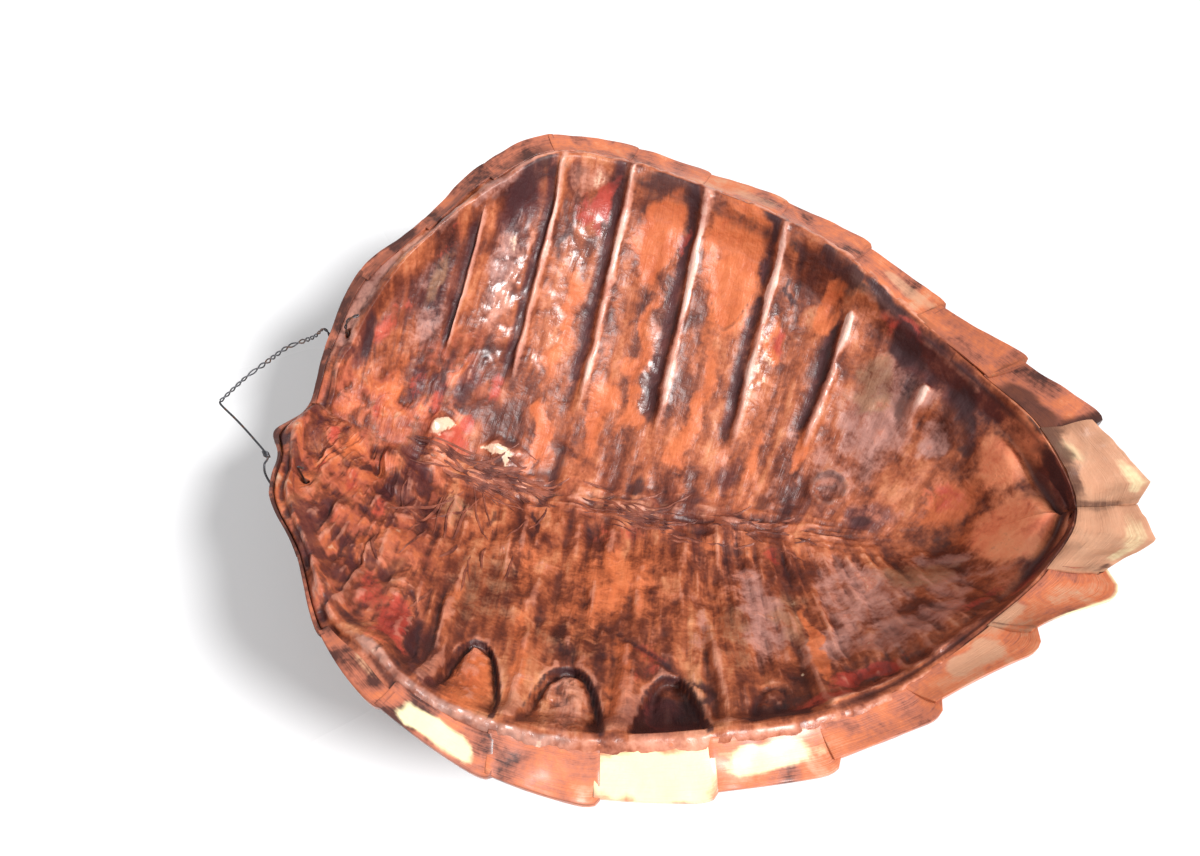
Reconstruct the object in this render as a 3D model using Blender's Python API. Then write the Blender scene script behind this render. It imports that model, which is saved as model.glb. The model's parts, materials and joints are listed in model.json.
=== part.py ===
"""A dried sea-turtle carapace laid on its dome, hollow side up, with the bent wire that it hangs by.

The shell is 370 mm long. +X runs from the nape to the tail, +Z is up, and the origin is the middle of
the worn flat on the keel, on which the shell rests. Lengths in the tables are millimetres.
"""

import math

import bmesh
import bpy
from mathutils import Matrix, Vector

MM = 0.001
CROWN_X = 155.0             # the origin, measured from the nape along the shell

# The rim. Row k is the seam behind marginal scute k - 1; row 0 is the nape and row 13 the tail notch.
# Each row: distance from the nape, half width, height above the table.
EDGE = (
    (0, 0, 78), (1, 26, 86), (10, 60, 101), (34, 88, 109), (57, 121, 117), (86, 144, 119), (126, 157, 104),
    (163, 156, 92), (203, 146, 87), (245, 126, 82), (281, 97, 77), (315, 65, 82), (343, 36, 82), (360, 0, 77),
)
RIDGE = (
    (10, 0, 79), (14, 22, 88), (27, 50, 105), (45, 80, 114), (70, 108, 120), (93, 131, 119), (124, 139, 110),
    (160, 137, 101), (199, 127, 95), (236, 112, 86), (268, 91, 74), (300, 61, 73), (323, 34, 75), (338, 0, 69),
)
NARROW_SHARE = 0.6          # how much narrower the near side's rim is, up to the row NARROW_END
NARROW_END = 4.7
# How far the back corner of each marginal scute stands out of the rim, from the nape scute to the last one
TOOTH = (0, 0, 0, 0.8, 1.2, 2.0, 3.2, 3.0, 4.4, 5.6, 7.6, 10.5, 10.0)
TOOTH_DROOP = 0.45          # how far a tooth bends down, as a share of its length
LAST_TIP = 0.74             # the last scute's tip, as a share of its length: a notch follows
NAPE_LUMP = (-21.0, 11.0, 8.0)  # across, spread and reach of the lump on the front edge
EDGE_THICK = 2.6

# The middle line inside and outside: distance from the nape at each row of the rim
SPINE_INSIDE = (8, 15, 22, 31, 44, 68, 102, 143, 180, 209, 234, 264, 302, 338)
SPINE_OUTSIDE = (2, 5, 12, 24, 42, 68, 104, 145, 182, 212, 240, 274, 316, 355)
# Height of those lines above the table against the distance from the nape
FLOOR_INSIDE = (
    (0, 76), (11, 66), (27, 51), (40, 42), (68, 27), (104, 16.5), (152, 12), (206, 10), (253, 10.5),
    (276, 14), (297, 22.5), (315, 37), (328, 53), (338, 68),
)
FLOOR_OUTSIDE = (
    (0, 74), (4, 63), (12, 52), (24, 42), (42, 29.5), (68, 16), (98, 5.5), (130, 0), (158, -1.4), (188, -1.0),
    (214, 0.4), (240, 2.4), (262, 5.2), (280, 9), (298, 17), (318, 32), (335, 49), (350, 66), (362, 76),
)

# The wall inside: how it bends, how high the ridge stands over it, and the ribs and pockets on it
WALL_BEND = 1.3
RIDGE_FACE = (3, 5, 5, 6, 7, 8, 9, 10, 13, 15, 12, 9, 8, 8)
RIBS = (3.7, 5.15, 6.15, 7.15, 8.15, 9.2, 10.45)
RIB_HALF = 0.13             # half width of a rib, in rows of the rim
RIB_HEIGHT = 2.4
POCKET_DEPTH = 4.0
# Where each pocket begins, from spine 0 to ridge 1, on the far side and on the near side
POCKET_START = ((0.62, 0.64, 0.66, 0.67, 0.72, 0.80), (0.68, 0.72, 0.70, 0.72, 0.76, 0.82))
SPINE_RIDGE = (3.0, 11.0)   # height and half width
TAIL_LOBES = ((315.0, 24.0), (321.0, -4.0))
LOBE = (4.5, 15.0)          # height and radius of the two smooth lobes at the tail
TISSUE_HEIGHT = 1.5         # lumps of dried tissue over the front half
TISSUE_END = 6.5

# The back: overlapping scutes, each with its rear edge standing over the next one
OUTER_BEND = 1.42
KEEL_BLUNT = 0.35
SCUTE_STEP = 1.6
MARGINAL_ROOT = 0.80        # the marginal scutes' root and the vertebral scutes' side, from spine to rim
VERTEBRAL_SIDE = 0.33
COSTAL_SEAMS = (1.6, 4.6, 7.1, 9.6, 12.2)
VERTEBRAL_SEAMS = (0.9, 3.4, 6.2, 8.6, 10.9, 12.6)

# Where points lie around a ring: inside from spine to ridge, across the rim, and outside back to the keel
INSIDE_AT = (0.09, 0.18, 0.30, 0.42, 0.54, 0.66, 0.76, 0.85, 0.93, 0.965, 1.0)
RIM_AT = (0.3, 0.65, 1.0)
OUTSIDE_AT = (1.0, 0.92, 0.84, 0.81, 0.79, 0.66, 0.53, 0.42, 0.34, 0.32, 0.20, 0.10, 0.05)
SEAM_GAP = 0.03             # half the space between the two rings at a seam
WIDEST_GAP = 0.26           # the longest stretch without a ring

# The hanging wire: a twisted leg, a single leg, and the two holes that hold them
HOLE_RADIUS = 1.7
HOLE_FAR = (11.0, 33.0, 88.0)
HOLE_NEAR = (16.0, -45.0, 88.0)
WIRE_RADIUS = 0.58
TWIST_RADIUS = 1.05
TWISTED_LEG = (
    (17.5, 37.0, 99.0), (13.5, 34.5, 98.5), (11.0, 33.0, 94.0), (11.0, 33.0, 88.0), (11.0, 33.0, 76.0),
    (9.3, 34.0, 69.5), (4.0, 35.5, 69.5), (-1.5, 37.5, 76.5), (-4.0, 38.0, 84.0), (-6.5, 31.8, 85.5),
    (-12.4, 26.5, 86.5), (-17.0, 22.1, 87.0), (-23.0, 12.5, 87.5), (-29.4, 2.9, 87.5), (-36.0, -11.0, 87.5),
)
SINGLE_LEG = (
    (-35.0, -13.0, 87.5), (-24.5, -20.1, 87.5), (-13.8, -27.9, 86.5), (-5.5, -34.7, 85.0), (-6.4, -38.0, 83.0),
    (-4.6, -42.3, 81.0), (0.5, -46.5, 78.0), (7.0, -46.5, 73.0), (13.5, -45.5, 70.5), (16.0, -45.0, 74.0),
    (16.0, -45.0, 82.0), (16.0, -45.0, 92.0), (16.5, -45.3, 98.0), (20.0, -46.5, 100.0),
)
WIRE_POINTS = 70


def clear_scene():
    """Removes every object of the scene."""
    for thing in list(bpy.data.objects):
        bpy.data.objects.remove(thing, do_unlink=True)


def material(name, color, roughness, metallic=0.0):
    """Makes a plain material."""
    made = bpy.data.materials.new(name)
    made.use_nodes = True
    shader = made.node_tree.nodes["Principled BSDF"]
    shader.inputs["Base Color"].default_value = (*color, 1.0)
    shader.inputs["Roughness"].default_value = roughness
    shader.inputs["Metallic"].default_value = metallic
    return made


def clamp(value, low=0.0, high=1.0):
    """Keeps a value between two ends."""
    return max(low, min(high, value))


def smooth(value):
    """An S-shaped step from 0 to 1."""
    value = clamp(value)
    return value * value * (3.0 - 2.0 * value)


def bump(value):
    """A round hump that is 1 in the middle and 0 from -1 and +1 outwards."""
    return smooth(1.0 - abs(value))


def through(p0, p1, p2, p3, share):
    """A point on the smooth curve from p1 to p2, which also passes through p0 and p3."""
    return 0.5 * (
        2.0 * p1 + (p2 - p0) * share + (2.0 * p0 - 5.0 * p1 + 4.0 * p2 - p3) * share ** 2
        + (3.0 * p1 - p0 - 3.0 * p2 + p3) * share ** 3
    )


def along_rim(rows, u):
    """A point of a curve given at each row of the rim. The curve goes on mirrored past its two ends."""
    last = len(rows) - 1
    u = clamp(u, 0.0, last)
    k = min(int(u), last - 1)

    def row(index):
        if index < 0:
            x, y, z = rows[-index]
            return Vector((x, -y, z))
        if index > last:
            x, y, z = rows[2 * last - index]
            return Vector((x, -y, z))
        return Vector(rows[index])

    return through(row(k - 1), row(k), row(k + 1), row(k + 2), u - k)


def along_values(values, u):
    """A number given at each row of the rim."""
    last = len(values) - 1
    u = clamp(u, 0.0, last)
    k = min(int(u), last - 1)
    picked = [values[clamp(i, 0, last)] for i in (k - 1, k, k + 1, k + 2)]
    return through(*picked, u - k)


def height_at(line, x):
    """The height of a middle line at a distance from the nape."""
    last = len(line) - 1
    k = 0
    while k < last - 1 and x > line[k + 1][0]:
        k += 1
    (x0, z0), (x1, z1) = line[k], line[k + 1]
    share = clamp((x - x0) / (x1 - x0))
    slopes = []
    for i in (k, k + 1):
        a, b = line[max(i - 1, 0)], line[min(i + 1, last)]
        slopes.append((b[1] - a[1]) / (b[0] - a[0]) * (x1 - x0))
    return (
        z0 * (1 - share) ** 2 * (1 + 2 * share) + slopes[0] * share * (1 - share) ** 2
        + z1 * share ** 2 * (3 - 2 * share) - slopes[1] * share ** 2 * (1 - share)
    )


def tooth(u):
    """How far the rim stands out at u, because each marginal scute widens towards its back corner."""
    k = min(int(u), len(TOOTH) - 1)
    share = u - k
    if k == len(TOOTH) - 1:
        rise = smooth(share / LAST_TIP) if share < LAST_TIP else smooth((1.0 - share) / (1.0 - LAST_TIP))
        return TOOTH[k] * rise
    return TOOTH[k] * share ** 1.6


def rim_ridge(u, side):
    """The rim's inner ridge. On the near side the front of the rim is narrow."""
    ridge = along_rim(RIDGE, u)
    if side < 0:
        ridge = ridge.lerp(along_rim(EDGE, u), NARROW_SHARE * smooth((NARROW_END - u) / 0.8))
    ridge.y *= side
    return ridge


def rim_edge(u, side):
    """The rim's outer edge, and how far its tooth moves it from the plain rim."""
    plain = along_rim(EDGE, u)
    ahead = along_rim(EDGE, u + 0.02) - along_rim(EDGE, u - 0.02)
    tangent = Vector((ahead.x, ahead.y, 0.0)).normalized()
    outward = Vector((-tangent.y, tangent.x, 0.0))
    shift = (outward - Vector((0.0, 0.0, TOOTH_DROOP))) * tooth(u)
    across, spread, reach = NAPE_LUMP
    plain.y *= side
    shift.y *= side
    shift.x -= reach * math.exp(-(((plain.y - across) / spread) ** 2)) * smooth((5.0 - u) / 3.0)
    return plain, shift


def tissue(x, y):
    """Low lumps of dried tissue."""
    return (
        math.sin(0.15 * x + 0.9 * math.sin(0.08 * y)) * math.cos(0.13 * y + 0.7 * math.sin(0.07 * x))
        + 0.4 * math.sin(0.19 * x - 0.16 * y + 1.3)
    )


def inside_relief(u, t, x, y, side):
    """What stands out of the wall inside, or is sunk in it: ribs, pockets, spine, lobes and tissue."""
    height, half = SPINE_RIDGE
    ends = smooth(x / 45.0) * smooth((305.0 - x) / 60.0)
    relief = height * math.exp(-((y / half) ** 2)) * ends
    for rib in RIBS:
        relief += RIB_HEIGHT * bump((u - rib) / (2.0 * RIB_HALF)) * smooth((t - 0.15) / 0.25)
    for number, start in enumerate(POCKET_START[0 if side > 0 else 1]):
        middle = 0.5 * (RIBS[number] + RIBS[number + 1])
        half_length = 0.5 * (RIBS[number + 1] - RIBS[number]) - RIB_HALF
        across = abs(u - middle) / half_length
        if across < 1.0:
            top = start + 0.10 * across ** 2
            relief -= POCKET_DEPTH * smooth((t - top) / 0.06) * smooth((1.0 - across) / 0.25)
    lobe_height, radius = LOBE
    for lobe_x, lobe_y in TAIL_LOBES:
        away = math.hypot(x - lobe_x, y - lobe_y) / radius
        relief += lobe_height * bump(away / 1.4)
    cover = smooth((TISSUE_END - u) / 2.0) * smooth(u / 1.5) * smooth((1.0 - t) / 0.15)
    return relief + TISSUE_HEIGHT * cover * tissue(x, y)


def inside_point(u, t, side):
    """A point on the inside of the shell, from the spine at t = 0 to the ridge of the rim at t = 1."""
    ridge = rim_ridge(u, side)
    spine_x = along_values(SPINE_INSIDE, u)
    spine = Vector((spine_x, 0.0, height_at(FLOOR_INSIDE, spine_x)))
    face = along_values(RIDGE_FACE, u) * smooth(u / 1.5)
    place = spine.lerp(ridge, t)
    place.z = spine.z + (ridge.z - face - spine.z) * t ** WALL_BEND + face * smooth((t - 0.90) / 0.10)
    fade = smooth((1.0 - t) / 0.03) * smooth(u / 0.8) * smooth((13.0 - u) / 0.8)
    place.z += inside_relief(u, t, place.x, place.y, side) * fade
    return place


def rim_point(u, share, side):
    """A point on the flat of the rim, from its inner ridge to its outer edge."""
    ridge = rim_ridge(u, side)
    plain, shift = rim_edge(u, side)
    place = ridge.lerp(plain + shift, share)
    place.z -= 1.2 * math.sin(math.pi * share) * smooth(u / 2.0)
    return place


def scute_step(u, t):
    """The height of the scutes on the back: each rises to its rear edge and drops to the next one."""
    if t > MARGINAL_ROOT:
        return SCUTE_STEP * 0.6
    seams = VERTEBRAL_SEAMS if t < VERTEBRAL_SIDE else COSTAL_SEAMS
    behind = max((s for s in seams if s <= u), default=0.0)
    ahead = min((s for s in seams if s > u), default=13.0)
    rise = (u - behind) / (ahead - behind)
    lift = SCUTE_STEP * (1.0 if t < VERTEBRAL_SIDE else 0.75)
    return lift * rise


def outside_point(u, t, side):
    """A point on the back of the shell, from the keel at t = 0 to the underside of the edge at t = 1."""
    plain, shift = rim_edge(u, side)
    keel_x = along_values(SPINE_OUTSIDE, u)
    keel = Vector((keel_x, 0.0, height_at(FLOOR_OUTSIDE, keel_x)))
    under = plain - Vector((0.0, 0.0, EDGE_THICK))
    place = keel.lerp(under, t)
    bend = OUTER_BEND + KEEL_BLUNT * (1.0 - t) ** 3
    place.z = keel.z + (under.z - keel.z) * t ** bend
    place += shift * smooth((t - 0.82) / 0.18)
    fade = smooth(u / 1.2) * smooth((13.0 - u) / 0.8) * smooth((1.0 - t) / 0.1)
    place.z -= scute_step(u, t) * fade
    place.z = max(place.z, 0.0)
    return place


def ring(u):
    """The closed loop of points around the shell at u, from the spine inside by the far side and back."""
    loop = [inside_point(u, 0.0, 1)]
    for side in (1, -1):
        half = [inside_point(u, t, side) for t in INSIDE_AT]
        half += [rim_point(u, share, side) for share in RIM_AT]
        half += [outside_point(u, t, side) for t in OUTSIDE_AT]
        if side == 1:
            loop += half + [outside_point(u, 0.0, 1)]
        else:
            loop += reversed(half)
    return loop


def ring_stations():
    """Where rings lie along the rim: a pair at each seam, three on each rib, and others between."""
    wanted = [0.03, 0.12, 0.35]
    for seam in range(1, len(EDGE) - 1):
        wanted += [seam - SEAM_GAP, seam + SEAM_GAP]
    for rib in RIBS:
        wanted += [rib - RIB_HALF, rib, rib + RIB_HALF]
    wanted += [12.0 + LAST_TIP, 12.9, 12.97]
    kept = []
    for u in sorted(wanted):
        if not kept or u - kept[-1] > SEAM_GAP:
            kept.append(u)
    stations = [kept[0]]
    for u in kept[1:]:
        gap = u - stations[-1]
        pieces = math.ceil(gap / WIDEST_GAP)
        start = stations[-1]
        stations += [start + gap * (i + 1) / pieces for i in range(pieces)]
    return stations


def to_frame(point):
    """From millimetres behind the nape to metres from the crown."""
    return Vector((point.x - CROWN_X, point.y, point.z)) * MM


def make_carapace(collection):
    """The shell: a sphere whose rings are laid around the shell one after another."""
    stations = ring_stations()
    loops = [ring(u) for u in stations]
    around = len(loops[0])
    mesh = bpy.data.meshes.new("carapace")
    bm = bmesh.new()
    bmesh.ops.create_uvsphere(bm, u_segments=around, v_segments=len(stations) + 1, radius=1.0)
    front = (inside_point(0.0, 0.0, 1) + rim_point(0.0, 1.0, 1)) * 0.5
    back = (inside_point(13.0, 0.0, 1) + rim_point(13.0, 1.0, 1)) * 0.5
    for vertex in bm.verts:
        polar = math.acos(clamp(vertex.co.z, -1.0, 1.0)) / math.pi * (len(stations) + 1)
        level = round(polar)
        if level == 0:
            vertex.co = to_frame(front)
        elif level == len(stations) + 1:
            vertex.co = to_frame(back)
        else:
            turn = math.atan2(vertex.co.y, vertex.co.x) / (2.0 * math.pi) % 1.0
            vertex.co = to_frame(loops[level - 1][round(turn * around) % around])
    bmesh.ops.triangulate(bm, faces=bm.faces)
    bmesh.ops.recalc_face_normals(bm, faces=bm.faces)
    bm.to_mesh(mesh)
    bm.free()
    shell = bpy.data.objects.new("carapace", mesh)
    collection.objects.link(shell)
    mesh.materials.append(material("bone_and_horn", (0.42, 0.16, 0.06), 0.35))
    mesh.shade_smooth()
    mesh.set_sharp_from_angle(angle=math.radians(35.0))
    return shell


def drill(shell, cutters):
    """Drills the two holes for the wire through the front edge."""
    for name, (x, y, z) in (("hole_far", HOLE_FAR), ("hole_near", HOLE_NEAR)):
        mesh = bpy.data.meshes.new(name)
        bm = bmesh.new()
        bmesh.ops.create_cone(
            bm, cap_ends=True, segments=16, radius1=HOLE_RADIUS * MM, radius2=HOLE_RADIUS * MM, depth=40.0 * MM
        )
        bm.to_mesh(mesh)
        bm.free()
        cutter = bpy.data.objects.new(name, mesh)
        cutters.objects.link(cutter)
        cutter.matrix_world = Matrix.Translation(to_frame(Vector((x, y, z))))
        cutter.hide_render = True
        cutter.display_type = "WIRE"
        cut = shell.modifiers.new(name, "BOOLEAN")
        cut.operation = "DIFFERENCE"
        cut.object = cutter


def smooth_route(points, count):
    """Even points on a smooth curve through a route's own points."""
    spots = [Vector(p) for p in points]
    first = 2 * spots[0] - spots[1]
    last = 2 * spots[-1] - spots[-2]
    spots = [first, *spots, last]
    dense = []
    for k in range(1, len(spots) - 2):
        dense += [through(*spots[k - 1:k + 3], i / 12.0) for i in range(12)]
    dense.append(spots[-2])
    length = [0.0]
    for a, b in zip(dense, dense[1:]):
        length.append(length[-1] + (b - a).length)
    even = []
    k = 0
    for i in range(count):
        goal = length[-1] * i / (count - 1)
        while k < len(dense) - 2 and length[k + 1] < goal:
            k += 1
        share = clamp((goal - length[k]) / max(length[k + 1] - length[k], 1e-9))
        even.append(dense[k].lerp(dense[k + 1], share))
    return even


def make_wire(collection):
    """The hanging wire: one bent wire whose far leg is twisted double."""
    twisted = smooth_route(TWISTED_LEG, WIRE_POINTS // 2)
    single = smooth_route(SINGLE_LEG, WIRE_POINTS // 2)
    route = [(p, TWIST_RADIUS) for p in twisted] + [(p, WIRE_RADIUS) for p in single]
    curve = bpy.data.curves.new("hanging_wire", "CURVE")
    curve.dimensions = "3D"
    curve.bevel_depth = MM
    curve.bevel_resolution = 2
    curve.use_fill_caps = True
    spline = curve.splines.new("POLY")
    spline.points.add(len(route) - 1)
    for spot, (place, radius) in zip(spline.points, route):
        spot.co = (*to_frame(place), 1.0)
        spot.radius = radius
    wire = bpy.data.objects.new("hanging_wire", curve)
    collection.objects.link(wire)
    curve.materials.append(material("dark_steel_wire", (0.05, 0.05, 0.05), 0.45, 1.0))
    return wire


def main():
    """Builds the shell and its wire."""
    clear_scene()
    parts = bpy.data.collections.new("turtle_shell")
    cutters = bpy.data.collections.new("cutters")
    bpy.context.scene.collection.children.link(parts)
    bpy.context.scene.collection.children.link(cutters)
    shell = make_carapace(parts)
    drill(shell, cutters)
    make_wire(parts)


main()
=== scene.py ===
"""A varnished sea-turtle carapace lying on its dome, hollow side up, with the bent wire that it hangs by.

Lengths inside the classes are millimetres measured from the nape; meshes are written in metres, with the
origin at the worn flat on the keel, +X from nape to tail, +Y to the far side and +Z up.
"""

import json
import logging
import math
import random
from dataclasses import dataclass, fields
from enum import Enum

import bpy
import numpy as np
from mathutils import Matrix, Vector, noise
from mathutils.bvhtree import BVHTree

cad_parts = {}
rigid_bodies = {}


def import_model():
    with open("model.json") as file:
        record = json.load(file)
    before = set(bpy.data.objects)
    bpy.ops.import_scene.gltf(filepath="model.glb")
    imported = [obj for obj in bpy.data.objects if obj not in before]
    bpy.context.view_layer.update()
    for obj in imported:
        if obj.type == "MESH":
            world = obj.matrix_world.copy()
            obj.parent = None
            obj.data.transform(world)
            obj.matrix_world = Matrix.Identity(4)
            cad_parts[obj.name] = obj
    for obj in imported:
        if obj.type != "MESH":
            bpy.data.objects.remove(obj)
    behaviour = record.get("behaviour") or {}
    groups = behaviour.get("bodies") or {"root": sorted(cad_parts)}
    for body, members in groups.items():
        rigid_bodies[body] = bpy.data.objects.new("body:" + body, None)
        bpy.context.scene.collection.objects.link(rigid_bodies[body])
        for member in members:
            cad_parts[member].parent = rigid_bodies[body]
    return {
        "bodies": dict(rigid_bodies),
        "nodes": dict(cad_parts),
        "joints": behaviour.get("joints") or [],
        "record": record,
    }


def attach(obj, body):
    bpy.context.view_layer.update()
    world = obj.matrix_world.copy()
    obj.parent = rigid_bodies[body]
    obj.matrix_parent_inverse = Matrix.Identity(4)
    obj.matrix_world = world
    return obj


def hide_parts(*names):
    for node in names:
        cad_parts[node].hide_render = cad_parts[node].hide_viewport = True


LOG = logging.getLogger("turtle_shell")
MM = 0.001
CROWN_X = 155.0  # from the nape to the origin
LAST_SCUTE = 12  # the marginal scutes of a side are numbered from 0
SOFT_REACH = 1.45  # where a patch has faded out, in half sizes
CREASE = math.radians(50.0)  # edges sharper than this stay sharp
Row = tuple[float, float, float]
Colour = tuple[float, float, float]


# ------------------------ small sums


def smooth(value: np.ndarray | float) -> np.ndarray | float:
    """An S-shaped step from 0 to 1."""
    value = np.clip(value, 0.0, 1.0)
    return value * value * (3.0 - 2.0 * value)


def bump(value: np.ndarray | float) -> np.ndarray | float:
    """A round hump: 1 in the middle, 0 from -1 and +1 outwards."""
    return smooth(1.0 - np.abs(value))


def bell(value: np.ndarray | float) -> np.ndarray | float:
    """A bell curve: 1 in the middle, with no sharp end."""
    return np.exp(-(value ** 2))


def lumps(places: np.ndarray, size: float, seed: float, octaves: int = 3) -> np.ndarray:
    """Soft irregular lumps.

    Args:
        places: Points, one a row, in millimetres.
        size: The lumps' usual width in millimetres.
        seed: Picks one pattern among many.
        octaves: How many finer layers the pattern has.

    Returns:
        One number a point, from about -1 to 1.
    """
    offset = Vector((seed * 17.1, seed * -9.7, seed * 4.3))
    scale = 1.0 / size
    return np.array([noise.fractal(Vector(p) * scale + offset, 1.0, 2.0, octaves) for p in places.tolist()])


def between(p: list[np.ndarray], share: np.ndarray | float) -> np.ndarray:
    """The smooth curve between the two middle ones of four neighbours.

    Args:
        p: The four neighbours.
        share: How far from the second to the third, from 0 to 1.

    Returns:
        The curve's points.
    """
    return 0.5 * (
        2.0 * p[1] + (p[2] - p[0]) * share + (2.0 * p[0] - 5.0 * p[1] + 4.0 * p[2] - p[3]) * share ** 2
        + (3.0 * p[1] - p[0] - 3.0 * p[2] + p[3]) * share ** 3
    )


def to_frame(places: np.ndarray) -> np.ndarray:
    """From millimetres behind the nape to metres from the origin."""
    return (places - np.array((CROWN_X, 0.0, 0.0))) * MM


# ------------------------ the form


@dataclass(frozen=True)
class ShellForm:
    """The shape of the shell. Row k of each table is the seam behind marginal scute k - 1.

    The tables give the rim's outer edge and inner ridge as points, each scute's tooth, where the rows of the rim
    start from on the middle line, inside and outside, and the heights of that line.
    """

    edge: tuple[Row, ...] = (
        (0, 0, 78), (1, 26, 86), (10, 60, 101), (34, 88, 109), (57, 121, 117), (86, 144, 119), (126, 157, 104),
        (163, 156, 92), (203, 146, 87), (245, 126, 82), (281, 97, 77), (315, 65, 82), (343, 36, 82), (360, 0, 77),
    )
    ridge: tuple[Row, ...] = (
        (10, 0, 79), (14, 22, 88), (27, 50, 105), (45, 80, 114), (70, 108, 120), (93, 131, 119), (124, 139, 110),
        (160, 137, 101), (199, 127, 95), (236, 112, 86), (268, 91, 74), (300, 61, 73), (323, 34, 75), (338, 0, 69),
    )
    narrow_share: float = 0.6
    narrow_end: float = 4.7
    tooth: tuple[float, ...] = (0, 0, 0, 0.8, 1.2, 2.0, 3.2, 3.0, 4.4, 5.6, 7.6, 10.5, 10.0)
    tooth_droop: float = 0.45
    overlap: float = 0.06
    corner: float = 0.22
    last_tip: float = 0.72
    nape_lump: Row = (-21.0, 11.0, 8.0)
    edge_thick: float = 2.6
    rim_sag: float = 1.2
    spine_inside: tuple[float, ...] = (8, 15, 22, 31, 44, 68, 102, 143, 180, 209, 234, 264, 302, 338)
    spine_outside: tuple[float, ...] = (2, 5, 12, 24, 42, 68, 104, 145, 182, 212, 240, 274, 316, 355)
    floor_inside: tuple[tuple[float, float], ...] = (
        (0, 76), (11, 66), (27, 51), (40, 42), (68, 27), (104, 16.5), (152, 12), (206, 10), (253, 10.5),
        (276, 14), (297, 22.5), (315, 37), (328, 53), (338, 68),
    )
    floor_outside: tuple[tuple[float, float], ...] = (
        (0, 74), (4, 63), (12, 52), (24, 42), (42, 29.5), (68, 16), (98, 5.5), (130, 0), (158, -1.4),
        (188, -1.0), (214, 0.4), (240, 2.4), (262, 5.2), (280, 9), (298, 17), (318, 32), (335, 49), (350, 66),
        (362, 76),
    )
    wall_bend: float = 1.3
    ridge_face: tuple[float, ...] = (3, 5, 5, 6, 7, 8, 9, 10, 13, 15, 12, 9, 8, 8)
    outer_bend: float = 1.42
    keel_blunt: float = 0.35

    def along_rim(self, rows: tuple[Row, ...], u: np.ndarray) -> np.ndarray:
        """Points of a curve given at each row of the rim, which goes on mirrored past its two ends.

        Args:
            rows: The curve's points, one for each row of the rim.
            u: Rows of the rim.

        Returns:
            A point for each u.
        """
        table = np.array(rows, float)
        flip = np.array((1.0, -1.0, 1.0))
        table = np.vstack((table[1] * flip, table, table[-2] * flip))
        last = len(rows) - 1
        u = np.clip(u, 0.0, last)
        k = np.minimum(u.astype(int), last - 1)
        return between([table[k + i] for i in range(4)], (u - k)[:, None])

    def along_values(self, values: tuple[float, ...], u: np.ndarray) -> np.ndarray:
        """Numbers given at each row of the rim.

        Args:
            values: One number for each row of the rim.
            u: Rows of the rim.

        Returns:
            A number for each u.
        """
        table = np.array((values[0], *values, values[-1]), float)
        last = len(values) - 1
        u = np.clip(u, 0.0, last)
        k = np.minimum(u.astype(int), last - 1)
        return between([table[k + i] for i in range(4)], u - k)

    def height_at(self, line: tuple[tuple[float, float], ...], x: np.ndarray) -> np.ndarray:
        """The height of a middle line at distances from the nape.

        Args:
            line: Pairs of a distance and a height.
            x: Distances from the nape.

        Returns:
            The heights.
        """
        xs, zs = np.array(line, float).T
        before, after = np.maximum(np.arange(len(xs)) - 1, 0), np.minimum(np.arange(len(xs)) + 1, len(xs) - 1)
        slopes = (zs[after] - zs[before]) / (xs[after] - xs[before])
        k = np.clip(np.searchsorted(xs, x) - 1, 0, len(xs) - 2)
        width = xs[k + 1] - xs[k]
        s = np.clip((x - xs[k]) / width, 0.0, 1.0)
        return (
            zs[k] * (1 - s) ** 2 * (1 + 2 * s) + slopes[k] * width * s * (1 - s) ** 2
            + zs[k + 1] * s ** 2 * (3 - 2 * s) - slopes[k + 1] * width * s ** 2 * (1 - s)
        )

    def tooth_at(self, u: np.ndarray, scute: int | None = None) -> np.ndarray:
        """How far the rim stands out, because each marginal scute widens towards its back corner.

        Args:
            u: Rows of the rim.
            scute: The marginal scute that the rim belongs to.

        Returns:
            Millimetres.
        """
        last = len(self.tooth) - 1
        k = np.minimum(u.astype(int), last) if scute is None else np.full(u.shape, scute)
        share = np.clip(u - k, 0.0, 1.0 + self.overlap)
        reach = np.array(self.tooth, float)[k]
        rise = np.minimum(share / self.last_tip, (1.0 - share) / (1.0 - self.last_tip))
        fall = np.clip(rise, 0.0, 1.0) ** 1.4
        corner = np.clip((share - 1.0 - self.overlap + self.corner) / self.corner, 0.0, 1.0)
        return reach * np.where(k == last, fall, share ** 1.6 * np.sqrt(1.0 - corner ** 2))

    def rim_ridge(self, u: np.ndarray, side: np.ndarray) -> np.ndarray:
        """The rim's inner ridge, which is close to the edge at the front of the near side.

        Args:
            u: Rows of the rim.
            side: 1 on the far side, -1 on the near side.

        Returns:
            A point for each u.
        """
        ridge = self.along_rim(self.ridge, u)
        share = np.where(side < 0, self.narrow_share * smooth((self.narrow_end - u) / 0.8), 0.0)[:, None]
        ridge = ridge * (1.0 - share) + self.along_rim(self.edge, u) * share
        ridge[:, 1] *= side
        return ridge

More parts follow.
